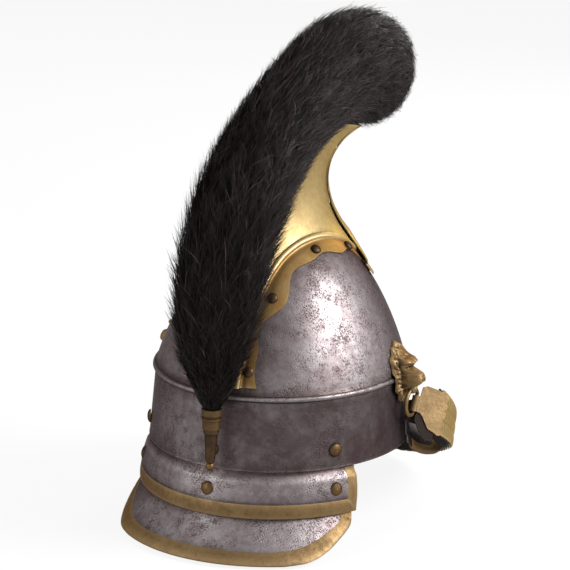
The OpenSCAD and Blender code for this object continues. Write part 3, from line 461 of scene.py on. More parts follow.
def metal(slot, label, clean, stained, pit, worn, rough, cloud, speck, cover=0.5, bare=0.7,
          grime_and_shade=(0.03, 0.02, 0.018), dents=0.0):
    """Five colours, the roughness of clean and stained metal, the scales of clouds and
    specks, how much the specks cover, how metallic a stain is, and how deep dents are."""
    t, bsdf = new_material(slot, label)
    p = node(t, "ShaderNodeGroup", node_tree=patina, Cloud_scale=cloud, Speck_scale=speck, Specks_cover=cover).outputs
    e = node(t, "ShaderNodeGroup", node_tree=edges, Spread=EDGE_SPREAD).outputs
    c = mix(t, p["Clouds"], clean, stained)
    c = mix(t, calc(t, p["Grain"], "*", 0.25), c, shade(stained, 0.6))
    # hollows are painted darker, partly as dirt and partly as painted shade
    c = mix(t, calc(t, e["Hollow"], "*", 0.8), c, HOLLOW_DIRT_AND_SHADE)
    c = mix(t, calc(t, e["Edge"], "*", 0.6), c, worn)
    c = mix(t, calc(t, p["Specks"], "*", 0.75), c, pit)
    # the vertex number darkens the metal both for real dirt and for painted shade, such as under a lame or where a dome
    # turns from the light
    dirt_and_shade = node(t, "ShaderNodeAttribute", attribute_name="grime_and_shade").outputs["Fac"]
    uneven = calc(t, calc(t, p["Clouds"], "*", 0.5), "+", 0.6)
    c = mix(t, calc(t, dirt_and_shade, "*", uneven, clamp=True), c, grime_and_shade)
    tired = calc(t, calc(t, p["Clouds"], "*", 0.7), "+", calc(t, p["Grain"], "*", 0.4), clamp=True)
    dull = node(t, "ShaderNodeMapRange", Value=tired, To_Min=rough[0], To_Max=rough[1]).outputs["Result"]
    height = calc(t, calc(t, p["Grain"], "*", 0.25), "-", p["Specks"])
    if dents:
        height = calc(t, height, "+", calc(t, noise(t, object_place(t), DENT_SCALE, 3.0, 0.6), "*", dents))
    relief = node(t, "ShaderNodeBump", Height=height, Distance=PIT_DEPTH, Strength=1.0).outputs["Normal"]
    # thick patina is a dull skin on the metal
    skin = calc(t, 1.0, "-", calc(t, p["Clouds"], "*", 1 - bare))
    # the edge colour is dark, a painted reflection of dark surroundings where the metal is seen at a slant
    feed(bsdf, Base_Color=c, Metallic=skin, Roughness=dull, Normal=relief, Specular_Tint=shade(stained, 1.3))


metal("worn_steel", "worn steel", (0.27, 0.248, 0.252), (0.125, 0.088, 0.09), (0.04, 0.026, 0.026),
      (0.48, 0.46, 0.45), (0.33, 0.50), 24.0, 850.0, cover=0.66, grime_and_shade=(0.045, 0.03, 0.03))
metal("aged_brass", "aged brass", (0.225, 0.148, 0.070), (0.135, 0.080, 0.034), (0.035, 0.02, 0.01),
      (0.34, 0.235, 0.12), (0.44, 0.62), 60.0, 600.0, cover=0.38, bare=0.6, grime_and_shade=(0.045, 0.026, 0.012), dents=1.6)
metal("comb_brass", "polished comb brass", (0.40, 0.305, 0.15), (0.28, 0.195, 0.085), (0.07, 0.04, 0.02),
      (0.56, 0.44, 0.24), (0.36, 0.5), 30.0, 500.0, cover=0.4, grime_and_shade=(0.20, 0.10, 0.025), dents=1.0)
metal("dark_brass", "dark brass", (0.15, 0.09, 0.035), (0.065, 0.036, 0.015), (0.02, 0.012, 0.008),
      (0.17, 0.105, 0.045), (0.4, 0.56), 70.0, 500.0)
metal("dark_iron", "dark iron", (0.16, 0.14, 0.13), (0.07, 0.045, 0.035), (0.02, 0.015, 0.012),
      (0.35, 0.33, 0.31), (0.45, 0.7), 80.0, 500.0)
print("metals:", sorted(MATERIALS))

# %% [markdown]
# Leather has a cell-like grain and softer large marks, and old leather is dull. A
# Voronoi texture's distance to the cell edge gives the grain's furrows, and the patina
# group lends its specks.

# %% Leather materials
def leather(slot, label, light, dark, rough, grain):
    """Two colours, the roughness of light and dark marks, and the grain's cells in a metre."""
    t, bsdf = new_material(slot, label)
    where = object_place(t)
    cells = node(t, "ShaderNodeTexVoronoi", feature="DISTANCE_TO_EDGE", Scale=grain, Vector=where)
    furrow = band(t, cells.outputs["Distance"], 0.0, 0.12)
    blotch = noise(t, where, 45.0, 5.0, 0.6)
    p = node(t, "ShaderNodeGroup", node_tree=patina, Cloud_scale=60.0, Speck_scale=700.0).outputs
    c = mix(t, band(t, blotch, 0.35, 0.68), dark, light)
    c = mix(t, calc(t, furrow, "*", 0.3), shade(dark, 0.5), c)
    c = mix(t, calc(t, p["Specks"], "*", 0.5), c, shade(dark, 0.3))
    dull = node(t, "ShaderNodeMapRange", Value=blotch, To_Min=rough[0], To_Max=rough[1]).outputs["Result"]
    relief = node(t, "ShaderNodeBump", Height=furrow, Distance=0.06 * MM, Strength=0.8).outputs["Normal"]
    feed(bsdf, Base_Color=c, Roughness=dull, Normal=relief, Specular_IOR_Level=0.15)


leather("strap_leather", "dark strap leather", (0.045, 0.025, 0.017), (0.018, 0.010, 0.007), (0.55, 0.75), 900.0)
leather("lining_leather", "lining leather", (0.22, 0.12, 0.06), (0.10, 0.05, 0.028), (0.5, 0.75), 700.0)
print("materials so far:", len(MATERIALS))

# %% [markdown]
# Horsehair is nearly black, but strands differ: some are brown, some grey. Each strand
# carries a number called tone in a mesh attribute, and the material turns it into a
# colour, lighter strands being a little smoother too.

# %% Horsehair material
t, bsdf = new_material("horsehair", "horsehair")
tone = node(t, "ShaderNodeAttribute", attribute_name="tone").outputs["Fac"]
shades = [(0.0, (0.004, 0.0025, 0.0025)), (0.45, (0.011, 0.0065, 0.006)), (0.7, (0.032, 0.019, 0.017)),
          (0.88, (0.085, 0.055, 0.048)), (1.0, (0.17, 0.125, 0.115))]
feed(bsdf, Base_Color=ramp(t, tone, shades), Specular_IOR_Level=0.16,
     Roughness=ramp(t, tone, [(0.0, (0.6, 0.6, 0.6)), (1.0, (0.4, 0.4, 0.4))]))
print("materials:", len(MATERIALS))

# %% [markdown]
# The skull is one raised sheet: a band that leans in, a half-round bead, then the
# dome. It is a lathe shape, so a profile of (distance from the rim oval, height) is
# carried round the oval. The rim has a small rolled lip, and the bead stands in a
# fine groove, both too small for the CAD model.

# %% Skull
DOME_H = DOME_TOP - DOME_LOW


def lathe(profile, angles):
    """A profile of (u, height) carried round the oval."""
    return np.stack([oval(angles, u, z) for u, z in profile], 1)


rim_lip = [(-0.75, 0.0), (-0.2, -0.05), (0.12, 0.2), (0.18, 0.6), (0.1, 1.1), (-0.04, 1.5)]
band_line = [(float(dome_u(z)), z) for z in np.linspace(2.2, BEAD_H - 4.2, 24)]
bead = [(-LEAN + 0.2 + BEAD_R * math.cos(a), BEAD_H - 1 + BEAD_R * math.sin(a))
        for a in np.radians(np.linspace(-88, 88, 15))]
bead = [(-LEAN + 0.05, BEAD_H - 3.55)] + bead + [(-LEAN + 0.05, BEAD_H + 1.5)]
dome = [(float(dome_u(z)), z) for z in DOME_LOW + DOME_H * np.sin(np.radians(np.linspace(2, 90, 72)))]
# the inside keeps a sheet's thickness from the dome, then runs down to the rim
inside = [(max(u - STEEL, -HALF_W), z - STEEL * (z - DOME_LOW) / DOME_H) for u, z in dome[:-1]]
inside += [(-HALF_W, DOME_TOP - STEEL)]
down = [(-LEAN - STEEL, DOME_LOW - 1), (float(dome_u(30)) - STEEL, 30), (-STEEL, 1.0)]
rings = lathe(rim_lip + band_line + bead + dome + inside[::-1] + down, np.linspace(0, 360, 289)[:-1])
skull = piece("skull_shell", *bar(rings, closed=True), "worn_steel", "helmet", "skull", smooth=40)


def skull_shade_and_patina(x, y, z):
    """Patina and painted shade. The band is darker all over, with painted shade towards
    its right side and under the bead, and darker at the rim. The dome is painted darker
    over the bead, beside the comb and in front, as painted shade where it turns from
    the light, with some patina beside the comb."""
    on_band = 0.64 + 0.0035 * x + 0.6 * np.exp((z - BEAD_H + 3) / 4) + 0.4 * np.exp(-z / 4)
    by_comb, in_front = 0.62 * np.exp(-((x / 57) ** 4)), 0.5 * np.clip((y + 22) / 42, 0, 1)
    over_bead = 0.5 * np.exp(-np.maximum(z - BEAD_H - 2, 0) / 4)
    return np.where(z < BEAD_H - 3, on_band, over_bead + (z > BEAD_H) * (by_comb + in_front))


# the skull is painted darker partly as patina and mostly as painted shade
paint(skull, "grime_and_shade", skull_shade_and_patina)
print("skull_shell:", len(skull.data.polygons), "faces")

# %% [markdown]
# The peak grows out of the skull: a short flange stands against the band, then the
# sheet bends down and out to its edge. Each row runs from the flange to the edge, and
# a smooth curve through each row makes it finer than the CAD model's.

# %% Peak
PEAK_HALF_W, PEAK_FRONT, PEAK_FALL, PEAK_T, PEAK_BACK, PEAK_MID = 90.5, 159.0, 37.0, 1.2, 30.0, 85.0


def band_u(z):
    """The u of the band's outside at height z."""
    return -LEAN * z / DOME_LOW


def peak_rows(k):
    """Rows from the flange to the edge; k runs from -1 at the left end to 1 at the right one."""
    q = np.abs(k)
    # the outline is round in front, and straighter over the last part of each side
    tail = (q - 0.6) / 0.4
    x = np.where(q > 0.6, PEAK_HALF_W + 3.4 * tail, PEAK_HALF_W * np.sin(np.radians(150 * q)))
    y = np.where(q > 0.6, PEAK_MID - (PEAK_MID - PEAK_BACK) * tail,
                 PEAK_MID + (PEAK_FRONT - PEAK_MID) * np.cos(np.radians(150 * q)))
    # it falls fast at first and ever less towards the front, as in the CAD model
    z = -3 - (PEAK_FALL - 3) * (1 - np.exp(-(y - PEAK_BACK) / 55)) / 0.911
    edge = np.stack([np.where(k < 0, -x, x), y, z], -1)
    a = 90 - 77 * k
    root = oval(a, band_u(5) + SEAT, 5)
    rows = [oval(a, band_u(h) + SEAT, h) for h in (16, 13, 10)] + [root + [0, 0, 1.2]]
    for v in (0.06, 0.2, 0.35, 0.52, 0.68, 0.84, 1):
        rows.append(root + (edge - root) * v + np.array([0, 0, 2.4 * math.sin(math.pi * v)]))
    return np.stack(rows, 1)


def refine(grid, across):
    """More columns along the second axis, by a smooth curve through those given."""
    flat = np.swapaxes(grid, 0, 1)
    return np.swapaxes(np.stack([spline(flat, s) for s in np.linspace(0, 1, across)]), 0, 1)


peak_grid = refine(peak_rows(np.linspace(-1, 1, 145)), 41)
peak = piece("peak_sheet", *shell(peak_grid, PEAK_T), "worn_steel", "helmet", "peak")
# painted shade: the peak is darker towards its root, where it runs into the skull and lies under the strap
paint(peak, "grime_and_shade", lambda x, y, z: 1.3 * np.exp(-np.maximum(y - 55, 0) / 30))

# %% [markdown]
# A bent brass strip is crimped over the peak's edge. It is a tube whose rings hug the
# sheet's own edge, so it can't drift from it: each line of the tube is the edge, moved
# outwards or along the sheet's normal.

# %% Brass edge of the peak
PEAK_TRIM_W, TRIM_T = 7.0, 0.8
edge, inner_line = peak_grid[:, -1], peak_grid[:, -5]
away = unit(edge - inner_line)
n_edge = normals(peak_grid)[:, -1]
back = edge - away * PEAK_TRIM_W
n_back = normals(peak_grid)[:, -6]
gap = SEAT + 0.1
thick = gap + TRIM_T
loops = [back - n_back * gap, back - n_back * thick, edge - n_edge * thick * 0.9 + away * 0.3,
         edge - n_edge * 0.6 + away * (thick + 0.2), edge + n_edge * 0.6 + away * (thick + 0.5),
         edge + n_edge * (PEAK_T + 0.8) + away * (thick + 0.1), edge + n_edge * (PEAK_T + thick + 0.15) - away * 0.8,
         (edge + back) / 2 + n_edge * (PEAK_T + thick + 0.2), back + n_back * (PEAK_T + thick) + away * 0.4,
         back + n_back * (PEAK_T + gap), edge + n_edge * (PEAK_T + gap) + away * gap, edge - n_edge * gap + away * gap]
trim = piece("peak_edge_strip", *bar(np.stack(loops, 1)[4:-4]), "aged_brass", "helmet", "peak_trim", smooth=60)
paint(trim, "grime_and_shade", 0.4)
print("peak reaches", round(float(edge[:, 1].max()), 1), "mm in front")

# %% [markdown]
# The neck guard is two curved strips of steel, or lames, that hang on rivets and
# overlap, so the neck can move. Each is a profile carried round the back of the oval.
# The lower one nests in the upper one, then flares outwards like a skirt.

# %% Profiles of the lames
UPPER_DROP, LOWER_DROP, LOWER_FLARE, PIVOT_DOWN, LIFT = 33.0, 63.0, 23.0, 15.0, 2.8
PLAY, LAME_T, UPPER_OUT, LAME_FRONT, FRONT_SLANT = 0.9, 1.0, 5.2, 56.0, 0.18
CORNER_LEN, CORNER_H, UPPER_TRIM_W, LOWER_TRIM_W = 62.0, 30.0, 10.5, 8.0
BACK = BACK_L / HALF_W
upper_in, nest = STEEL + PLAY, LAME_T + PLAY
upper_line = np.array([[band_u(21) - upper_in, 21], [-upper_in, -LIFT], [0.9, -8], [2.8, -PIVOT_DOWN],
                       [4.2, -PIVOT_DOWN - 8], [UPPER_OUT, -UPPER_DROP]])
flare_z, under = -UPPER_DROP - LIFT, UPPER_OUT - LAME_T - PLAY
fall = np.arange(13) / 12
lower_line = np.concatenate([[[1.3 - nest, -9.5], [2.8 - nest, -PIVOT_DOWN], [4.2 - nest, -PIVOT_DOWN - 8]],
                             np.stack([under + (LOWER_FLARE - under) * fall**1.2,
                                       flare_z - (LOWER_DROP + flare_z) * fall], 1)])
print("profile points:", len(upper_line), len(lower_line))

# %% [markdown]
# The front ends of the lames are cut straight or leaning, and the lower one has a long
# rounded corner. A cut through a mesh leaves ragged edges, so the grid's columns are
# squeezed between the two ends instead, and its rows end on the cut line.

# %% Places on a lame
def line_u(line, z, off):
    """Distance from the rim of a lame's face at height z, moved out by off."""
    low_first = line[::-1]
    u = np.interp(z, low_first[:, 1], low_first[:, 0])
    slope = (np.interp(z + 0.5, low_first[:, 1], low_first[:, 0])
             - np.interp(z - 0.5, low_first[:, 1], low_first[:, 0]))
    return u + off * np.hypot(1, slope)


def on_lame(line, s, z, front, off=0.0):
    """s from -1 (left front end) over 0 (back) to 1 (right front end); front is how far
    behind the middle that end lies at this height."""
    r = HALF_W + line_u(line, z, off)
    f_end = np.arcsin(np.clip(front / (BACK * r), -1, 1))
    f = -np.pi / 2 + s * (np.pi / 2 - f_end)
    return np.stack(np.broadcast_arrays(r * np.cos(f), BACK * r * np.sin(f), z), -1)


corner_shape = np.array([[0, 1], [0.02, 0.84], [0.08, 0.69], [0.19, 0.56], [0.34, 0.41], [0.53, 0.23],
                         [0.76, 0.07], [1, 0]])


def corner_low(behind, front, w):
    """Height of the lower lame's cut edge, drawn in by w, at a distance behind the middle."""
    p = spline(corner_shape, np.linspace(0, 1, 60))
    x = front + w + (CORNER_LEN - w) * np.clip(p[:, 0], 0, 1)
    z = -LOWER_DROP + w + (CORNER_H - w) * np.clip(p[:, 1], 0, 1)
    return np.interp(behind, x, z)


def cut_low(line, s, front, w, top):
    """The edge height at each column s, found by following the column down."""
    z = np.full_like(s, -LOWER_DROP + 10)
    for _ in range(12):
        p = on_lame(line, s, z, front)
        z = 0.5 * z + 0.5 * np.minimum(corner_low(-p[:, 1], front, w), top)
    return z


columns = np.sign(np.linspace(-1, 1, 181)) * np.abs(np.linspace(-1, 1, 181)) ** 0.8
lower_low = cut_low(lower_line, columns, LAME_FRONT + 3, 0, -9.6)
print("lower edge from", round(float(lower_low.min()), 1), "to", round(float(lower_low.max()), 1), "mm")

# %% [markdown]
# Each plate is a shell of such columns. Where it runs under the plate above, it stands
# back a little, so that the two don't touch when the guard swings. Each plate is
# painted darker under the edge above it, as painted shadow, and darker along its
# border; the lower one is also painted darker towards its left side, as painted shade.

# %% Plates of the lames
TUCK = 0.7


def tucked(z, edge):
    """How far a lame stands back at height z, under a plate that ends at edge."""
    return -TUCK * np.clip((z - edge) / 3, 0, 1)


z_rows = np.concatenate([np.linspace(21, -LIFT, 8), np.linspace(-5, -UPPER_DROP, 20)])
upper_grid = np.stack([on_lame(upper_line, columns, z, LAME_FRONT - FRONT_SLANT * (z + UPPER_DROP), tucked(z, -4.5))
                       for z in z_rows], 1)
plate = piece("upper_lame_plate", *shell(upper_grid, -LAME_T), "worn_steel", "upper_lame", "upper_lame")
# painted shadow under the skull's rim at the top, and darker along the brass border at the foot
paint(plate, "grime_and_shade", lambda x, y, z: 0.18 + 0.9 * np.exp((z + 1) / 3)
      + 0.7 * np.exp((-UPPER_DROP + UPPER_TRIM_W - z) / 2))

lower_rows = [-9.5 + (lower_low + 9.5) * v for v in np.linspace(0, 1, 30)]
lower_grid = np.stack([on_lame(lower_line, columns, z, LAME_FRONT + 3, tucked(z, -UPPER_DROP - 4.5))
                       for z in lower_rows], 1)
plate = piece("lower_lame_plate", *shell(lower_grid, -LAME_T), "worn_steel", "lower_lame", "lower_lame")
# painted shadow under the upper lame's edge, painted shade towards the left side, and darker along the border
paint(plate, "grime_and_shade", lambda x, y, z: np.exp((z + UPPER_DROP + 1) / 3.5) - 0.004 * x
      + 0.5 * np.exp((-LOWER_DROP + LOWER_TRIM_W - z) / 2.5))
print("lames:", upper_grid.shape, lower_grid.shape)

# %% [markdown]
# Both lames have a brass border. The upper one is a flat strip with a mitred corner
# at each front end, a real joint between two strips; the lower one is folded over
# the edge and runs up the rounded corner. A border is a tube round a profile of (share
# of its width, height over the plate), with a slightly domed face.

# %% Brass borders of the lames
SIDE_TRIM_W = UPPER_TRIM_W * 0.8
face, under_face = SEAT + TRIM_T, -LAME_T - SEAT - TRIM_T


def strip(profile, at):
    """A tube along a strip: at gives the line of points for a share and a height."""
    return bar(np.stack([at(v, off) for v, off in profile], 1))


low_out, low_in = -UPPER_DROP - 0.9, -UPPER_DROP - 1 + UPPER_TRIM_W
front_at = LAME_FRONT - 0.6
mitre_in = front_at + SIDE_TRIM_W - FRONT_SLANT * UPPER_TRIM_W
s_long = np.linspace(-1, 1, 161)


def bottom_line(v, off):
    return on_lame(upper_line, s_long, low_in + (low_out - low_in) * v, mitre_in + (front_at - mitre_in) * v, off)


def front_line(side, v, off):
    """A line up a front end of the upper lame; its lower end is cut along the mitre."""
    h = np.linspace(low_in + 0.15, -1.0, 24) + (low_out + 0.3 - low_in) * v * np.linspace(1, 0, 24) ** 2
    front = front_at - FRONT_SLANT * (h + UPPER_DROP) + SIDE_TRIM_W * (1 - v)
    return np.stack([on_lame(upper_line, side, z, f, off) for z, f in zip(h, front)])


parts = [strip([(0, SEAT), (0, face - 0.15), (0.07, face), (0.3, face + 0.25), (0.5, face + 0.325),
                (0.7, face + 0.25), (0.93, face), (1, face - 0.15), (1, SEAT)], bottom_line)]
for side in (1.0, -1.0):
    parts.append(strip([(0, SEAT), (0, face - 0.15), (0.08, face), (0.5, face + 0.3), (0.92, face),
                        (1, face - 0.15), (1, SEAT)], lambda v, off: front_line(side, v, off)))
trim = piece("upper_lame_border", *join(parts), "aged_brass", "upper_lame", "upper_lame_trim", smooth=60)
paint(trim, "grime_and_shade", 0.33)

trim_front, top = LAME_FRONT + 2, -UPPER_DROP - 1.5
out_z = cut_low(lower_line, columns, trim_front, 0, top) - 0.9
in_z = np.maximum(cut_low(lower_line, columns, trim_front, LOWER_TRIM_W, top), out_z + 1.2)
folded = [(0, SEAT), (0, face - 0.2), (0.06, face), (0.3, face + 0.25), (0.6, face + 0.3), (0.88, face + 0.15),
          (1.0, face - 0.4), (1.06, -LAME_T / 2), (1.0, under_face + 0.4), (0.88, under_face), (0.06, under_face),
          (0, under_face + 0.2), (0, -LAME_T - SEAT), (0.93, -LAME_T - SEAT), (0.93, SEAT)]


def folded_line(v, off):
    return on_lame(lower_line, columns, in_z + (out_z - in_z) * v, trim_front - 0.6 * v, off)


trim = piece("lower_lame_border", *strip(folded, folded_line), "aged_brass", "lower_lame", "lower_lame_trim",
             smooth=60)
paint(trim, "grime_and_shade", 0.33)
print("borders on both lames")

# %% [markdown]
# The comb is pressed from thin brass: two sides that stand on the dome with a wide
# flange, a front plate between them, and a rail that closes the top. A foot of round
# moulding runs above the flange, which has a wavy lower edge. The lists give the foot,
# the flange and the top edge from back to front, as in the CAD model.

# %% Lines of the comb
COMB_T, TOP_W, MOULDING, TIP_Y, TIP_H, HOLLOW, SCALLOP = 0.9, 10.0, 3.0, 98.0, 225.0, 58.0, 5.0
COMB_UP = 0.45 + COMB_T
FOOT_R = 2.4
PIVOT_Y, PIVOT_Z = -5, 70
SIDES = (1, "right"), (-1, "left")
foot_dir = [-4, 8, 20, 33, 46, 60, 73, 86, 98, 109, 119]
foot_w = [17, 16, 15.5, 15.5, 16.8, 19.6, 24.5, 30, 35, 39, 42]
flange_w = [30.5, 26, 21.8, 31.5, 33, 32, 38.5, 43.5, 45.5, 47, 49]
rail_line = [[-115, 64], [-111, 84], [-108, 106], [-101, 132], [-88, 159], [-67, 186],
             [-38, 206], [0, 221], [40, 228], [70, 230], [TIP_Y, TIP_H]]


def on_dome(a, x, h):
    """Point on the dome in direction a (degrees) seen from its pivot, x to the side, raised by h."""
    a, x = np.broadcast_arrays(np.radians(a), x)
    low, high = np.full(a.shape, 10.0), np.full(a.shape, 190.0)
    for _ in range(32):
        r = (low + high) / 2
        y, z = PIVOT_Y - np.cos(a) * r, PIVOT_Z + np.sin(a) * r
        outside = np.where(z >= DOME_TOP, 1, level(x, y) - dome_u(z)) > 0
        low, high = np.where(outside, low, r), np.where(outside, r, high)
    r = high + h
    return np.stack([x, PIVOT_Y - np.cos(a) * r, PIVOT_Z + np.sin(a) * r], -1)


def wall_curve(foot, tip, pulled, v):
    """Y and Z of the comb's side between its foot and its top edge."""
    c = (foot + tip) / 2 + np.stack([-pulled, 0.56 * pulled], -1)
    return (1 - v) ** 2 * foot + 2 * (1 - v) * v * c + v * v * tip


print("comb top at", rail_line[-1], "mm")

# %% [markdown]
# A side of the comb is a grid of rows: four across the flange, two over the moulding
# and seven up the wall. Smooth curves through the rows make it finer. The brass is dark
# along its foot and has a brown spot round each rivet.

# %% Sides of the comb
def side_rows(s):
    a, xm = spline(foot_dir, s), spline(foot_w, s)
    xe = spline(flange_w, s) - SCALLOP * 0.3 * np.sin(2 * np.pi * s * 5)
    rows = [on_dome(a, x, COMB_UP) for x in (xe, xe * 0.68 + xm * 0.32 + 1, xe * 0.34 + xm * 0.66 + 2, xm + FOOT_R)]
    rows += [on_dome(a, xm + 1.6, COMB_UP + MOULDING * 0.8), on_dome(a, xm - 0.6, COMB_UP + MOULDING)]
    foot, tip = on_dome(a, xm - FOOT_R, COMB_UP + MOULDING * 0.7)[:, 1:], spline(rail_line, s)
    for v in (0, 0.12, 0.26, 0.42, 0.6, 0.8, 1):
        x = TOP_W + (xm - FOOT_R - TOP_W) * (1 - v) ** (2.6 + 1.5 * s)
        rows.append(np.concatenate([x[:, None], wall_curve(foot, tip, HOLLOW * s**4, v)], 1))
    return np.stack(rows, 1)


# one point in twelve of the rivets' meshes is enough to find the nearest rivet
rivet_points = np.array([v.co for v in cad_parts["comb_rivets"].data.vertices])[::12] / MM


def stain(x, y, z):
    """Patina along the foot of the comb, and a brown spot round each rivet."""
    at = np.stack([x, y, z], -1)
    far = np.min([np.linalg.norm(at - p, axis=-1) for p in rivet_points], axis=0)
    foot = 0.8 * np.exp(-np.maximum(level(x, y) - dome_u(z) - 2.0, 0) / 1.2)
    return np.where(z < DOME_TOP, foot, 0) + 0.7 * np.exp(-((far / 4.5) ** 2))


side_grid = refine(side_rows(np.linspace(0, 1, 181)), 73)
side_out = normals(side_grid)
side_out *= -np.sign(side_out[90, 60, 0])
points, faces = shell(side_grid, COMB_T, side_out)
for side, name in SIDES:
    ob = piece(f"comb_side_{name}", points * [side, 1, 1], faces, "comb_brass", "helmet", f"comb_{name}")
    paint(ob, "grime_and_shade", stain)
print("comb sides:", side_grid.shape)

# %% [markdown]
# The front plate closes the comb between its two sides and curls up to a lip under the
# crest. It is made like a side, with rows that run round the front of the dome.

# %% Front plate of the comb
def front_rows(w):
    a, b = 24 + 132 * w, np.radians(4 + 172 * w)
    low = 124 + 0.4 * SCALLOP * np.cos(np.radians(1080 * w))
    rows = []
    for t in (0, 0.33, 0.66, 1):
        z = low * (1 - t) + 134 * t
        rows.append(oval(a, dome_u(z) + COMB_UP + 0.5, z))
    rows.append(oval(a, dome_u(137) + COMB_UP + MOULDING, 137.0))
    # the wall begins where the sides' last seven rows do
    f, tip = side_rows(np.array([1.0]))[0, -7], spline(rail_line, 1)
    for v in (0.06, 0.14, 0.26, 0.42, 0.6, 0.8, 1):
        q, yz = 1 - v, wall_curve(f[1:], tip, HOLLOW, v)
        x, y = TOP_W + 0.4 + (f[0] + 0.4 - TOP_W) * q**4.1, 26 * q**3.4 + 4
        rows.append(np.stack(np.broadcast_arrays(x * np.cos(b), yz[0] + 1 + y * np.sin(b), yz[1]), -1))
    return np.stack(rows, 1)


front_grid = refine(front_rows(np.linspace(0, 1, 97)), 60)
front_out = normals(front_grid)
front_out *= np.sign(front_out[48, 30, 1])
piece("comb_front_plate", *shell(front_grid, COMB_T, front_out), "comb_brass", "helmet", "comb_front")
print("comb front plate:", front_grid.shape)

# %% [markdown]
# The crest is a brush of horsehair, over half a metre long round the curve. Its shape
# is a run of rings along a curve, flattened where the comb stands between two halves
# of the brush. A dark core has that shape a little smaller, roughened by waves and by
# chance, and closes the gaps between the strands; its near-black tone is partly the
# hair's own colour and partly painted shade between the strands. The random numbers
# are seeded: every run makes the same hair.

# %% Crest core
FERRULE_Y, FERRULE_TOP, FERRULE_R, CREST_W, TAIL_LEAN = 130.0, 50.0, 5.2, 35.0, 7.0
CREST_LEN, PAST_END = 560, 0.012
crest_line = [[-FERRULE_Y, FERRULE_TOP + 0.3], [-130, 70], [-129, 92], [-123, 122], [-111, 156], [-91, 189],
              [-63, 216], [-30, 237], [8, 254], [50, 267], [90, 272], [126, 266], [151, 256], [171, 246]]
crest_half = [6.2, 15, 22, 28, 32, CREST_W - 1.5, CREST_W - 1.5, CREST_W - 1, CREST_W, CREST_W + 2,
              CREST_W + 5, CREST_W + 4, CREST_W - 5, 13]
crest_deep = [6.2, 10.5, 16, 22, 28, 32, 33, 33, 34, 38, 43, 45, 38, 18]
rail_points = spline(rail_line, np.linspace(0, 1, 121))


def crest_at(s, angle, reach):
    """Points of the crest: s along it, angle round it (degrees, 90 is up), reach 1 at its skin."""
    s, angle, reach = np.broadcast_arrays(s, angle, reach)
    over = np.clip(s - 1, 0, PAST_END)[..., None]
    s = np.clip(s, 0, 1)
    p = spline(crest_line, s)
    t = unit(spline(crest_line, np.minimum(1, s + 0.01)) - spline(crest_line, np.maximum(0, s - 0.01)))
    n = np.stack([-t[..., 1], t[..., 0]], -1)
    # the hanging tail is fuller than the hair over the top
    full = 1 + 0.17 * np.exp(-(((s - 0.17) / 0.13) ** 2))
    rx, ry = spline(crest_half, s) * full, spline(crest_deep, s) * full
    p = p + t * over * CREST_LEN
    a = np.radians(angle)
    # under the crest the hair stops above the comb's top edge, between its two sides
    gap = np.min(np.linalg.norm(p[..., None, :] - rail_points, axis=-1), axis=-1) - 0.4
    cx = TAIL_LEAN * np.maximum(0, 1 - 1.8 * s)
    x, y = rx * np.cos(a) * reach, ry * np.sin(a) * reach
    y = np.where((np.abs(x + cx) < TOP_W + 0.7) & (y < 0), np.maximum(y, -gap), y)
    return np.concatenate([(cx + x)[..., None], p + n * y[..., None]], -1)


rng = np.random.default_rng(11)
core_s, core_a = np.linspace(0.0, 1.0, 150), np.linspace(0, 360, 97)[:-1]
fuzz = 1 + 0.03 * np.sin(np.radians(core_a * 9))[None] * np.sin(core_s * 60)[:, None]
fuzz = fuzz + 0.022 * rng.standard_normal((150, 96))
# the lowest rings are round and stand in the ferrule
neck = [np.stack([TAIL_LEAN + FERRULE_R * np.cos(np.radians(core_a)),
                  -FERRULE_Y + FERRULE_R * np.sin(np.radians(core_a)), np.full(96, z)], -1)
        for z in (FERRULE_TOP - 7, FERRULE_TOP + 0.1)]
core = np.concatenate([np.stack(neck), crest_at(core_s[:, None], core_a[None], 0.93 * fuzz)])
crest_core = piece("crest_core", *bar(core), "horsehair", "helmet", "crest", smooth=180)
# the core's tone is partly the hair's own colour and partly painted shade in the gaps
paint(crest_core, "tone", 0.1)
print("crest_core:", len(crest_core.data.polygons), "faces")

# %% [markdown]
# Hair particles don't export, so each strand is a thin ribbon of real mesh. The strands
# start inside the crest and run towards its front end, hugging the shape and rising a
# little, so their tips make the ragged outline. Neighbours share a wave and cling
# together in locks, and a few wild ones stand off. Strands that run along the crest
# leave its blunt front end bare, so a third set starts there and fans out over it.

# %% Hair strands
PARTS = 3


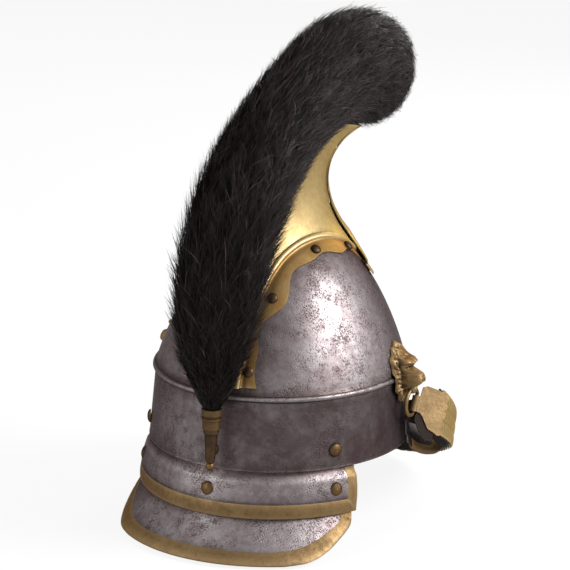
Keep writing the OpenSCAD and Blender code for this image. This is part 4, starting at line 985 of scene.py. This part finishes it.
def strands(name, count, seed, width, length, start, lift, flyaway, end=False):
    """Thin strands that leave the crest's skin and lie along it, or with end fan out over its
    front end. Width and length are in mm, start and lift are shares of the crest's
    thickness, and flyaway is the share of wild strands."""
    r = np.random.default_rng(seed)
    s0 = r.uniform(0.0, 1.0, count * 2)
    girth = spline(crest_half, s0) + spline(crest_deep, s0)
    s0 = s0[r.uniform(0, girth.max(), count * 2) < girth * 1.1 + 14][:count]
    count = len(s0)
    angle = r.uniform(-90, 270, count)
    long = length * r.uniform(0.55, 1.25, count) / CREST_LEN
    # neighbouring strands cling together in locks
    lock = (np.sin(s0 * 95 + angle * 0.11) + np.sin(s0 * 41 - angle * 0.17 + 2) + np.sin(angle * 0.31 + s0 * 23)) / 3
    drift = 8 * lock + r.normal(0, 12, count)
    reach0 = start + r.uniform(-0.08, 0.05, count)
    reach1 = reach0 + lift * r.uniform(0.45, 1.35, count) + 0.05 * lock
    wild = r.uniform(0, 1, count) < flyaway
    reach1 = np.where(wild, reach1 + r.uniform(0.03, 0.16, count), reach1)
    # the brush over the top is trimmed closer than the tail
    trimmed = np.interp(s0, [0.25, 0.55], [1.32, 1.04]) + r.uniform(-0.08, 0.06, count) + 0.05 * wild
    reach1 = np.minimum(reach1, trimmed)
    s0 = np.minimum(s0, r.uniform(0.97, 1.0, count) - 0.9 * long)
    root = np.sqrt(r.uniform(0, 0.85, count)) if end else 0
    along_strand, path = np.linspace(0, 1, PARTS + 1), []
    for v in along_strand:
        along, out = s0 - 0.012 + long * v, reach0 + (reach1 - reach0) * v**1.25
        if end:
            out = np.minimum(root + 0.45 * v, 1.05)
            along = 1 + PAST_END * np.clip(1.1 - out**2 + 0.25 * lock * v, 0, 1)
        path.append(crest_at(along, angle + drift * v * v, out))
    path = np.stack(path, 1)
    # each ribbon faces its own way and narrows to a tip
    roll = r.uniform(0, 2 * math.pi, count)
    any_way = np.stack([np.cos(roll), np.sin(roll) * 0.6, np.sin(roll) * 0.8], -1)[:, None]
    across = unit(np.cross(np.gradient(path, axis=1), any_way))
    across = across * (width * r.uniform(0.7, 1.3, count) * np.where(wild, 1.3, 1))[:, None, None]
    across = across * np.interp(along_strand, [0, 0.3, 0.7, 1], [0.9, 1, 0.75, 0.12])[None, :, None]
    points = np.stack([path - across, path + across], 2).reshape(-1, 3)
    step = 2 * (PARTS + 1)
    base = np.arange(count)[:, None] * step + np.arange(PARTS)[None] * 2
    faces = np.stack([base, base + 1, base + 3, base + 2], -1).reshape(-1, 4).tolist()
    mesh = bpy.data.meshes.new(name)
    mesh.from_pydata(points * MM, [], faces)
    # hair over the top has faded, the hanging tail is nearly black
    tone = np.clip(r.beta(1.5, 3.2, count) * (0.75 + 0.5 * s0) + 0.10 * lock, 0, 1)
    tone = np.where(r.uniform(0, 1, count) < 0.05, r.uniform(0.6, 0.9, count), 0.85 * tone)
    mesh.attributes.new("tone", "FLOAT", "POINT").data.foreach_set("value", np.repeat(tone, step))
    place(mesh, "horsehair", "helmet")
    print(name, count, "strands")


strands("crest_hair_under", 12000, 21, 0.28, 42, 0.86, 0.16, 0.0)
strands("crest_hair_outer", 24000, 22, 0.21, 26, 0.90, 0.25, 0.12)
strands("crest_hair_end", 1800, 23, 0.25, 20, 0.9, 0.0, 0.1, end=True)

# %% [markdown]
# The lion mask is pressed brass: a ruff of mane round a flat, calm animal's face. It
# is a disc of rings and spokes. Its height over the skull starts from the face's line
# seen from the side, which falls off towards the cheeks. Soft hills add brows, cheeks,
# lips and ears, soft pits the eyes and the mouth, and a ring of curls is the mane.

# %% Height of the lion mask
BOSS_Z, BOSS_H, BOSS_W, BOSS_Y = 58.0, 22.0, 17.0, 12.0
PROFILE = np.array([(-25, 2.2), (-18.6, 3.4), (-14.5, 4.5), (-12.2, 7.0), (-10.6, 13.4), (-8.4, 16.8), (-5.0, 18.9),
                    (-1.2, 19.9), (1.4, 19.4), (3.2, 15.6), (5.6, 12.0), (8.2, 13.9), (10.2, 15.6), (11.8, 14.6),
                    (12.8, 9.8), (14.6, 7.6), (18, 6.4), (22, 5.4)])
FACE_WIDTH = np.array([(-25, 6), (-12, 6.6), (-7, 8.2), (-2.5, 8.8), (2, 8.0), (6, 9.4), (10, 10.6), (14, 9.8),
                       (22, 9)])


def hill(y, z, y0, z0, wy, wz, power=1):
    """A soft hill of height 1 at (y0, z0); a higher power makes its top flatter."""
    return np.exp(-(((y - y0) / wy) ** 2 + ((z - z0) / wz) ** 2) ** power)


def face_height(r, a, y, z):
    """Height of the mask over the skull; r is 1 at its rim, a in degrees round it."""
    m = np.abs(y)
    across = np.clip(1 - (m / np.interp(z, *FACE_WIDTH.T)) ** 2.8, 0, 1) ** 0.5
    face = 3.9 + (np.interp(z, *PROFILE.T) - 3.9) * across
    # cheeks and brows, then eyes, mouth and nostrils, then the lines of nose and forehead
    face += 2.6 * hill(m, z, 6.4, -5.0, 3.4, 4.2) + 1.2 * hill(m, z, 4.8, 10.6, 3.0, 1.6)
    face -= 3.0 * hill(m, z, 5.2, 5.6, 2.5, 1.7) - 1.6 * hill(m, z, 5.0, 5.5, 1.1, 0.9)
    face -= 1.7 * hill(y, z, 0, -6.6, 5.4, 0.9) + 1.1 * hill(m, z, 1.7, -0.9, 0.8, 0.7)
    face -= 1.0 * hill(y, z, 0, -4.0, 0.5, 2.4) + 0.8 * hill(y, z, 0, 12.0, 0.7, 3.0)
    # ears
    face += 3.0 * hill(m, z, 10.2, 12.2, 2.6, 2.8) - 2.2 * hill(m, z, 10.4, 12.2, 1.2, 1.5)
    ring = (r - 0.80) / 0.22
    curl = np.cos(np.radians(15 * a + 60 * np.sin(np.radians(3 * a)))) * np.cos(np.pi * ring * 1.6)
    curl = curl + 0.5 * np.sin(np.radians(31 * a + 300 * r))
    ruff = 4.9 * np.sqrt(np.clip(1 - ring**2, 0, 1)) + 1.15 * curl * np.clip(1 - np.abs(ring) ** 3, 0, 1)
    ruff = ruff + 0.35 * np.sin(np.radians(70 * a)) * np.clip(1 - ring**2, 0, 1)
    # a groove parts the face from the mane
    groove = 1.3 * hill(r, 0, 0.60, 0, 0.05, 1)
    return np.maximum(face * (r < 0.90) + 1.4 * (r >= 0.90), np.maximum(ruff, 1.4)) - groove


print("lion: nose", PROFILE[:, 1].max(), "mm high")

# %% [markdown]
# The mask's back follows the band, the bead and the dome that it is bent over. Its
# front is the same surface moved out by the height above, and a ring of faces closes
# the two at the rim.

# %% Lion masks
def back_u(z):
    """The u of the mask's back at height z over the rim: it clears the bead by a step."""
    low = BEAD_R - LEAN + 1.0
    over = low - (z - BEAD_H - 2) * 1.1
    return np.where(z < BEAD_H + 2, np.maximum(low, dome_u(z) + 0.6), np.maximum(dome_u(z) + 0.6, over))


def lion_points():
    """Front and back of the right mask as one run of rings."""
    r = np.linspace(0, 1, 64)[1:, None]
    a = np.linspace(0, 360, 193)[None, :-1]
    edge = 1 + 0.05 * np.cos(np.radians(12 * a)) + 0.025 * np.cos(np.radians(7 * a + 40))
    y, z = BOSS_W * r * edge * np.cos(np.radians(a)), BOSS_H * r * edge * np.sin(np.radians(a))
    height = BOSS_Z + z
    back = back_u(height)
    front = np.maximum(back + 1.2, dome_u(height) + face_height(r, a, y, z))
    # the staple's eye stands in a pit under the chin, and the ring passes below it
    pit = hill(y, z, 0, -11.5, 5.0, 5.4, 3)
    front = front * (1 - pit) + (back + 1.2) * pit
    front = np.where(z < -13, np.minimum(front, np.maximum(back + 1.2, 2.4)), front)
    y = y + BOSS_Y
    x = [np.sqrt((HALF_W + u) ** 2 - (y / pull(y)) ** 2) for u in (front, back)]
    return bar(np.concatenate([np.stack([x[0], y, height], -1), np.stack([x[1], y, height], -1)[::-1]]))


points, faces = lion_points()
for side, name in SIDES:
    piece(f"lion_mask_{name}", points * [side, 1, 1], faces, "aged_brass", "helmet", f"lion_boss_{name}", smooth=60)
print("lion masks: 2, each", len(faces), "faces")

# %% [markdown]
# The chin strap lies in a half oval that hangs from the two rings, tilted about them.
# Its parts are drawn flat round that oval and tilted at the end, as in the CAD model.
# A place on it is given by an angle round the oval, a distance out from the leather
# and a distance across it.

# %% The strap's oval
RING_X, RING_Z = 104.0, 36.0
ARCH_W, ARCH_LEN, ARCH_TILT, STRAP_W, STRAP_END_W = 119.0, 188.98, 27.0, 32.5, 22.0
LEATHER_T, SCALE_T, SCALE_PITCH, ARCH_START, STRAP_FLARE = 1.6, 0.7, 8.0, 21.0, 0.10
STRETCH, TAPER_END = ARCH_LEN / ARCH_W, ARCH_LEN - 60
start_t = math.degrees(math.asin(ARCH_START / ARCH_LEN))


def tilted(p, side=1):
    """From the flat drawing of the strap to its place on the helmet."""
    p = np.asarray(p, float)
    c, s = math.cos(math.radians(ARCH_TILT)), math.sin(math.radians(ARCH_TILT))
    x, y, z = p[..., 0], p[..., 1], p[..., 2]
    return np.stack([side * x, y * c + z * s + BOSS_Y, -y * s + z * c + RING_Z], -1)


def half_width(y):
    return (STRAP_W + (STRAP_END_W - STRAP_W) * np.clip((y - ARCH_START) / (TAPER_END - ARCH_START), 0, 1)) / 2


def arch(t, u, z):
    """Point on the strap's oval at angle t (degrees), moved out by u, at height z across it."""
    t = np.radians(t)
    r = ARCH_W + u - STRAP_FLARE * z
    return np.stack(np.broadcast_arrays(r * np.cos(t), STRETCH * r * np.sin(t), z), -1)


def turned(at, turn, x, y):
    """A flat place (x, y) turned by an angle and moved to a point."""
    return at[0] + x * math.cos(turn) - y * math.sin(turn), at[1] + x * math.sin(turn) + y * math.cos(turn)


def heading(t):
    """The direction that the strap faces at angle t."""
    return math.atan2(math.sin(math.radians(t)), STRETCH * math.cos(math.radians(t)))


def on_strap(t, off, twist, out, along, over):
    """Points of a thing that stands on the strap at angle t, off its middle, turned by twist
    degrees: out from it, along it and over its width."""
    c, s = STRETCH * math.cos(math.radians(t)), math.sin(math.radians(t))
    lean = math.atan(STRAP_FLARE * STRETCH / math.hypot(c, s))
    x, y = turned(arch(t, off, 0.0), heading(t) + math.radians(twist),
                  out * math.cos(lean) - over * math.sin(lean), along)
    return np.stack(np.broadcast_arrays(x, y, out * math.sin(lean) + over * math.cos(lean)), -1)


print("strap starts at", round(start_t, 1), "degrees of its oval")

# %% [markdown]
# The strap is two straps of black leather that meet under the chin. Each has a tab
# that shows below the brass plate next to its ring, and a second tab behind that
# plate's rolled end, so three simple shapes are joined into one piece. Both tabs are
# partly leather and partly a dark sheet that stands in for the shade round the ring
# and the plate.

# %% Leather of the chin strap
ts = np.linspace(start_t, math.degrees(math.acos(0.9 / ARCH_W)), 140)
wide = half_width(ARCH_LEN * np.sin(np.radians(ts))) + 0.8
top, low = -SEAT, -SEAT - LEATHER_T
section = [(-0.96, top), (0.96, top), (1, top - 0.3), (1, low + 0.3),
           (0.96, low), (-0.96, low), (-1, low + 0.3), (-1, top - 0.3)]
strap_rings = np.stack([arch(ts, u, wide * v) for v, u in section], 1)
PLATE_AT, PLATE_TURN, PLATE_LEAN = (RING_X + 0.9, 6.5), math.radians(44.4), math.radians(3)
# the flap below the plate and the tab behind its rolled end are dark leather that also stands in for shade round the
# ring
u, v = np.linspace(0, 1, 24)[:, None], np.linspace(0, 1, 16)[None]
below, above = -spline([13, 18.5, 23, 25, 24], u), spline([-8.6, 4, 10, 12.5, 13], u)
over = below + (above - below) * v
x, y = turned(PLATE_AT, PLATE_TURN, 2.0 + 17.5 * u, over * math.sin(PLATE_LEAN))
flap_leather_and_shade = np.stack([x - 0.9 * math.sin(PLATE_TURN), y + 0.9 * math.cos(PLATE_TURN) - 1.2, over], -1)
x, y = turned(PLATE_AT, PLATE_TURN, -4.6 + 12.4 * u, 4.3)
tab_leather_and_shade = np.stack(np.broadcast_arrays(x, y, -14.5 + (16.5 + 5.5 * u) * v), -1)
for side, name in SIDES:
    parts = [bar(tilted(strap_rings, side)), shell(tilted(flap_leather_and_shade, side), side), shell(tilted(tab_leather_and_shade, side), side)]
    piece(f"chin_strap_{name}", *join(parts), "strap_leather", "chin_strap", f"strap_leather_{name}", smooth=30)
print("leather straps:", strap_rings.shape)

# %% [markdown]
# The scales are small brass plates with three lobes each that overlap like tiles. One
# function draws a scale of a given width, and a loop sets scales along the strap until
# the buckle's place is reached.

# %% Scales
def scale_outline(w):
    """One scale as a grid: along its length to a lobed end, and across its width."""
    v = np.linspace(-1, 1, 31)
    lobes = np.sqrt(np.clip(1 - ((v * 1.5 + 1.5) % 1 * 2 - 1) ** 2, 0, 1))
    end = SCALE_PITCH + 3.5 - w / 6 + (w / 6) * lobes
    u = np.linspace(0, 1, 12)[:, None]
    return u * end[None], np.broadcast_to(v * w / 2, (12, 31)), SCALE_T * 0.35 + 0.45 * lobes * np.sin(np.pi * u * 0.9)


scales, t = [], start_t + 0.8
while ARCH_W * math.cos(math.radians(t)) > 30:
    along, over, out = scale_outline(2 * float(half_width(arch(t, SEAT, 0.0)[1])) + 2)
    scales.append(on_strap(t, SEAT, -5, out, along, over))
    t += math.degrees(SCALE_PITCH / ARCH_W / math.hypot(math.sin(math.radians(t)), STRETCH * math.cos(math.radians(t))))
for side, name in SIDES:
    parts = [shell(tilted(scale, side), SCALE_T * 0.8 * side) for scale in scales]
    piece(f"chin_scales_{name}", *join(parts), "comb_brass", "chin_strap", f"scales_{name}", smooth=35)
print("scales each side:", len(scales))

# %% [markdown]
# A keeper holds the strap's free end: a flat loop of leather round the strap. Its rings
# are rectangles with round corners, first round the inside of the loop, then round its
# outside.

# %% Strap keeper
def frame_loop(half_x, half_z, r):
    """A rectangle with round corners, as points (x, z)."""
    turn = np.radians(np.arange(4)[:, None] * 90 + np.linspace(0, 90, 7)[None]).ravel()
    corner = np.repeat([[1, 1], [-1, 1], [-1, -1], [1, -1]], 7, 0) * [half_x - r, half_z - r]
    return corner + r * np.stack([np.cos(turn), np.sin(turn)], -1)


keeper_t = math.degrees(math.acos(12.5 / ARCH_W))
turn = heading(keeper_t)
thick = LEATHER_T * math.hypot(math.cos(turn), STRETCH * math.sin(turn)) + 0.2
inside, outside = (thick + 0.2) / 2, STRAP_END_W / 2 + 0.4
rings = []
for grow, along, r in ((0, -3, 0.3), (0, 3, 0.3), (0.95, 3, 1.1), (1.3, 2.55, 1.4), (1.3, -2.55, 1.4), (0.95, -3, 1.1)):
    out, over = frame_loop(inside + grow, outside + grow, r).T
    rings.append(on_strap(keeper_t, -SEAT, 0, out + 0.2 - inside, along, over))
piece("keeper_loop", *bar(tilted(np.stack(rings, 1)), closed=True), "strap_leather", "chin_strap", "strap_keeper",
      smooth=40)
print("strap keeper:", round(2 * outside, 1), "mm wide inside")

# %% [markdown]
# Inside, a leather sweatband runs round the rim and eight leather tongues lean in to
# carry the helmet on the head. The band is a lathe shape. The tongues are cut from
# thin hide, so they have rounded tips and a slight wave.

# %% Lining
SWEAT_IN, BAND_LOW, BAND_HIGH, BAND_T, TONGUE_T, TONGUES = 8.0, 2.0, 38.0, 1.6, 1.4, 8
hug = -STEEL - LEAN * 0.72 - 0.35
profile = [(-SWEAT_IN + 0.3, BAND_LOW), (-SWEAT_IN + BAND_T - 0.3, BAND_LOW), (-SWEAT_IN + BAND_T, BAND_LOW + 0.5),
           (-SWEAT_IN + BAND_T, 23), (-STEEL - LEAN * 0.52 - 0.35, 28), (hug, BAND_HIGH - 0.4), (hug - 0.3, BAND_HIGH),
           (hug - BAND_T + 0.3, BAND_HIGH), (hug - BAND_T, BAND_HIGH - 0.4),
           (-STEEL - LEAN * 0.6 - 0.45 - BAND_T, 29), (-SWEAT_IN, 24.4), (-SWEAT_IN, BAND_LOW + 0.5)]
sweatband = bar(lathe(profile, np.linspace(0, 360, 241)[:-1]), closed=True)
piece("sweatband_leather", *sweatband, "lining_leather", "helmet", "sweatband", smooth=50)

tongue_line = [(hug - 0.1, BAND_HIGH + SEAT), (hug - 0.2, BAND_HIGH + 1.4), (-STEEL - LEAN - 2.8, BAND_HIGH + 4)]
tongue_line += [(-STEEL - LEAN - BAND_T - 1.6 + float(dome_u(DOME_LOW + i / 7 * 86)) * 0.92, BAND_HIGH + 2 + i * 13.5)
                for i in range(1, 8)]
v, across = np.linspace(0, 1, 44), np.linspace(-0.5, 0.5, 17)
u_run, z_run = spline(tongue_line, v).T
width = (40 - (z_run - BAND_HIGH) * 0.095) * np.sqrt(np.clip(1 - np.clip((v - 0.86) / 0.14, 0, 1) ** 2 * 0.96, 0, 1))
tongues = []
for k in range(TONGUES):
    a = 360 * (k + 0.5) / TONGUES + across[None] * width[:, None]
    wave = 0.4 * np.sin(across * 9 + k)[None] * v[:, None]
    grid = oval(a, u_run[:, None] - 0.2 + wave - 0.4 * v[:, None], z_run[:, None])
    tongues.append(shell(grid, TONGUE_T * 0.9))
piece("lining_tongue_leather", *join(tongues), "lining_leather", "helmet", "lining_tongues", smooth=60)
print("lining: band and", len(tongues), "tongues")

# %% [markdown]
# The remaining CAD pieces, such as rivets, rings and the ferrule, are round already.
# They keep their meshes and take a material and smooth shading. Some are also darkened
# by a number at their vertices: one for a whole piece, or on the rivets of the neck
# guard a painted highlight at the top and painted shade at the foot.

# %% Materials for the CAD pieces that stay
kept = {"comb_rail": "comb_brass", "staple_nuts": "dark_iron"}
kept.update(dict.fromkeys(("comb_rivets", "ferrule_collar", "ferrule_tip", "ferrule_knob", "neck_rivets",
                           "lame_rivets"), "dark_brass"))
kept.update(dict.fromkeys(("peak_rivets", "ring_staple_right", "ring_staple_left", "ring_right", "ring_left",
                           "hinge_plate_right", "hinge_plate_left", "buckle_frame", "buckle_tongue"), "aged_brass"))
for name, slot in kept.items():
    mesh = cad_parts[name].data
    mesh.materials.clear()
    mesh.materials.append(MATERIALS[slot])
    mesh.polygons.foreach_set("use_smooth", [True] * len(mesh.polygons))
    mesh.set_sharp_from_angle(angle=math.radians(35))
for name, much in (("peak_rivets", 0.35), ("ferrule_tip", 0.75), ("ferrule_collar", 0.45), ("comb_rivets", 0.95),
                   ("ring_right", 0.25), ("ring_left", 0.25), ("hinge_plate_right", 0.42),
                   ("hinge_plate_left", 0.42)):
    paint(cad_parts[name], "grime_and_shade", much)


def painted_rivet_shading(x, y, z):
    """Painted shading of a rivet head: a painted highlight at its top and painted shade at its foot; heads lie over 40
    mm apart.
    """
    out, which = level(x, y), np.round(x / 60)
    far = np.zeros_like(x)
    for k in np.unique(which):
        own = which == k
        top = np.argmax(np.where(own, out, -1e9))
        at = np.stack([x, y, z + 1.0], -1) - [x[top], y[top], z[top] + 2.0]
        far = np.where(own, np.linalg.norm(at, axis=-1), far)
    return 0.12 + 0.95 * np.clip((far - 1.8) / 4.2, 0, 1) ** 1.3


# painted highlight at each rivet's top, painted shade at its foot
for name in ("neck_rivets", "lame_rivets"):
    paint(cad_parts[name], "grime_and_shade", painted_rivet_shading)
print("CAD pieces dressed:", len(kept))
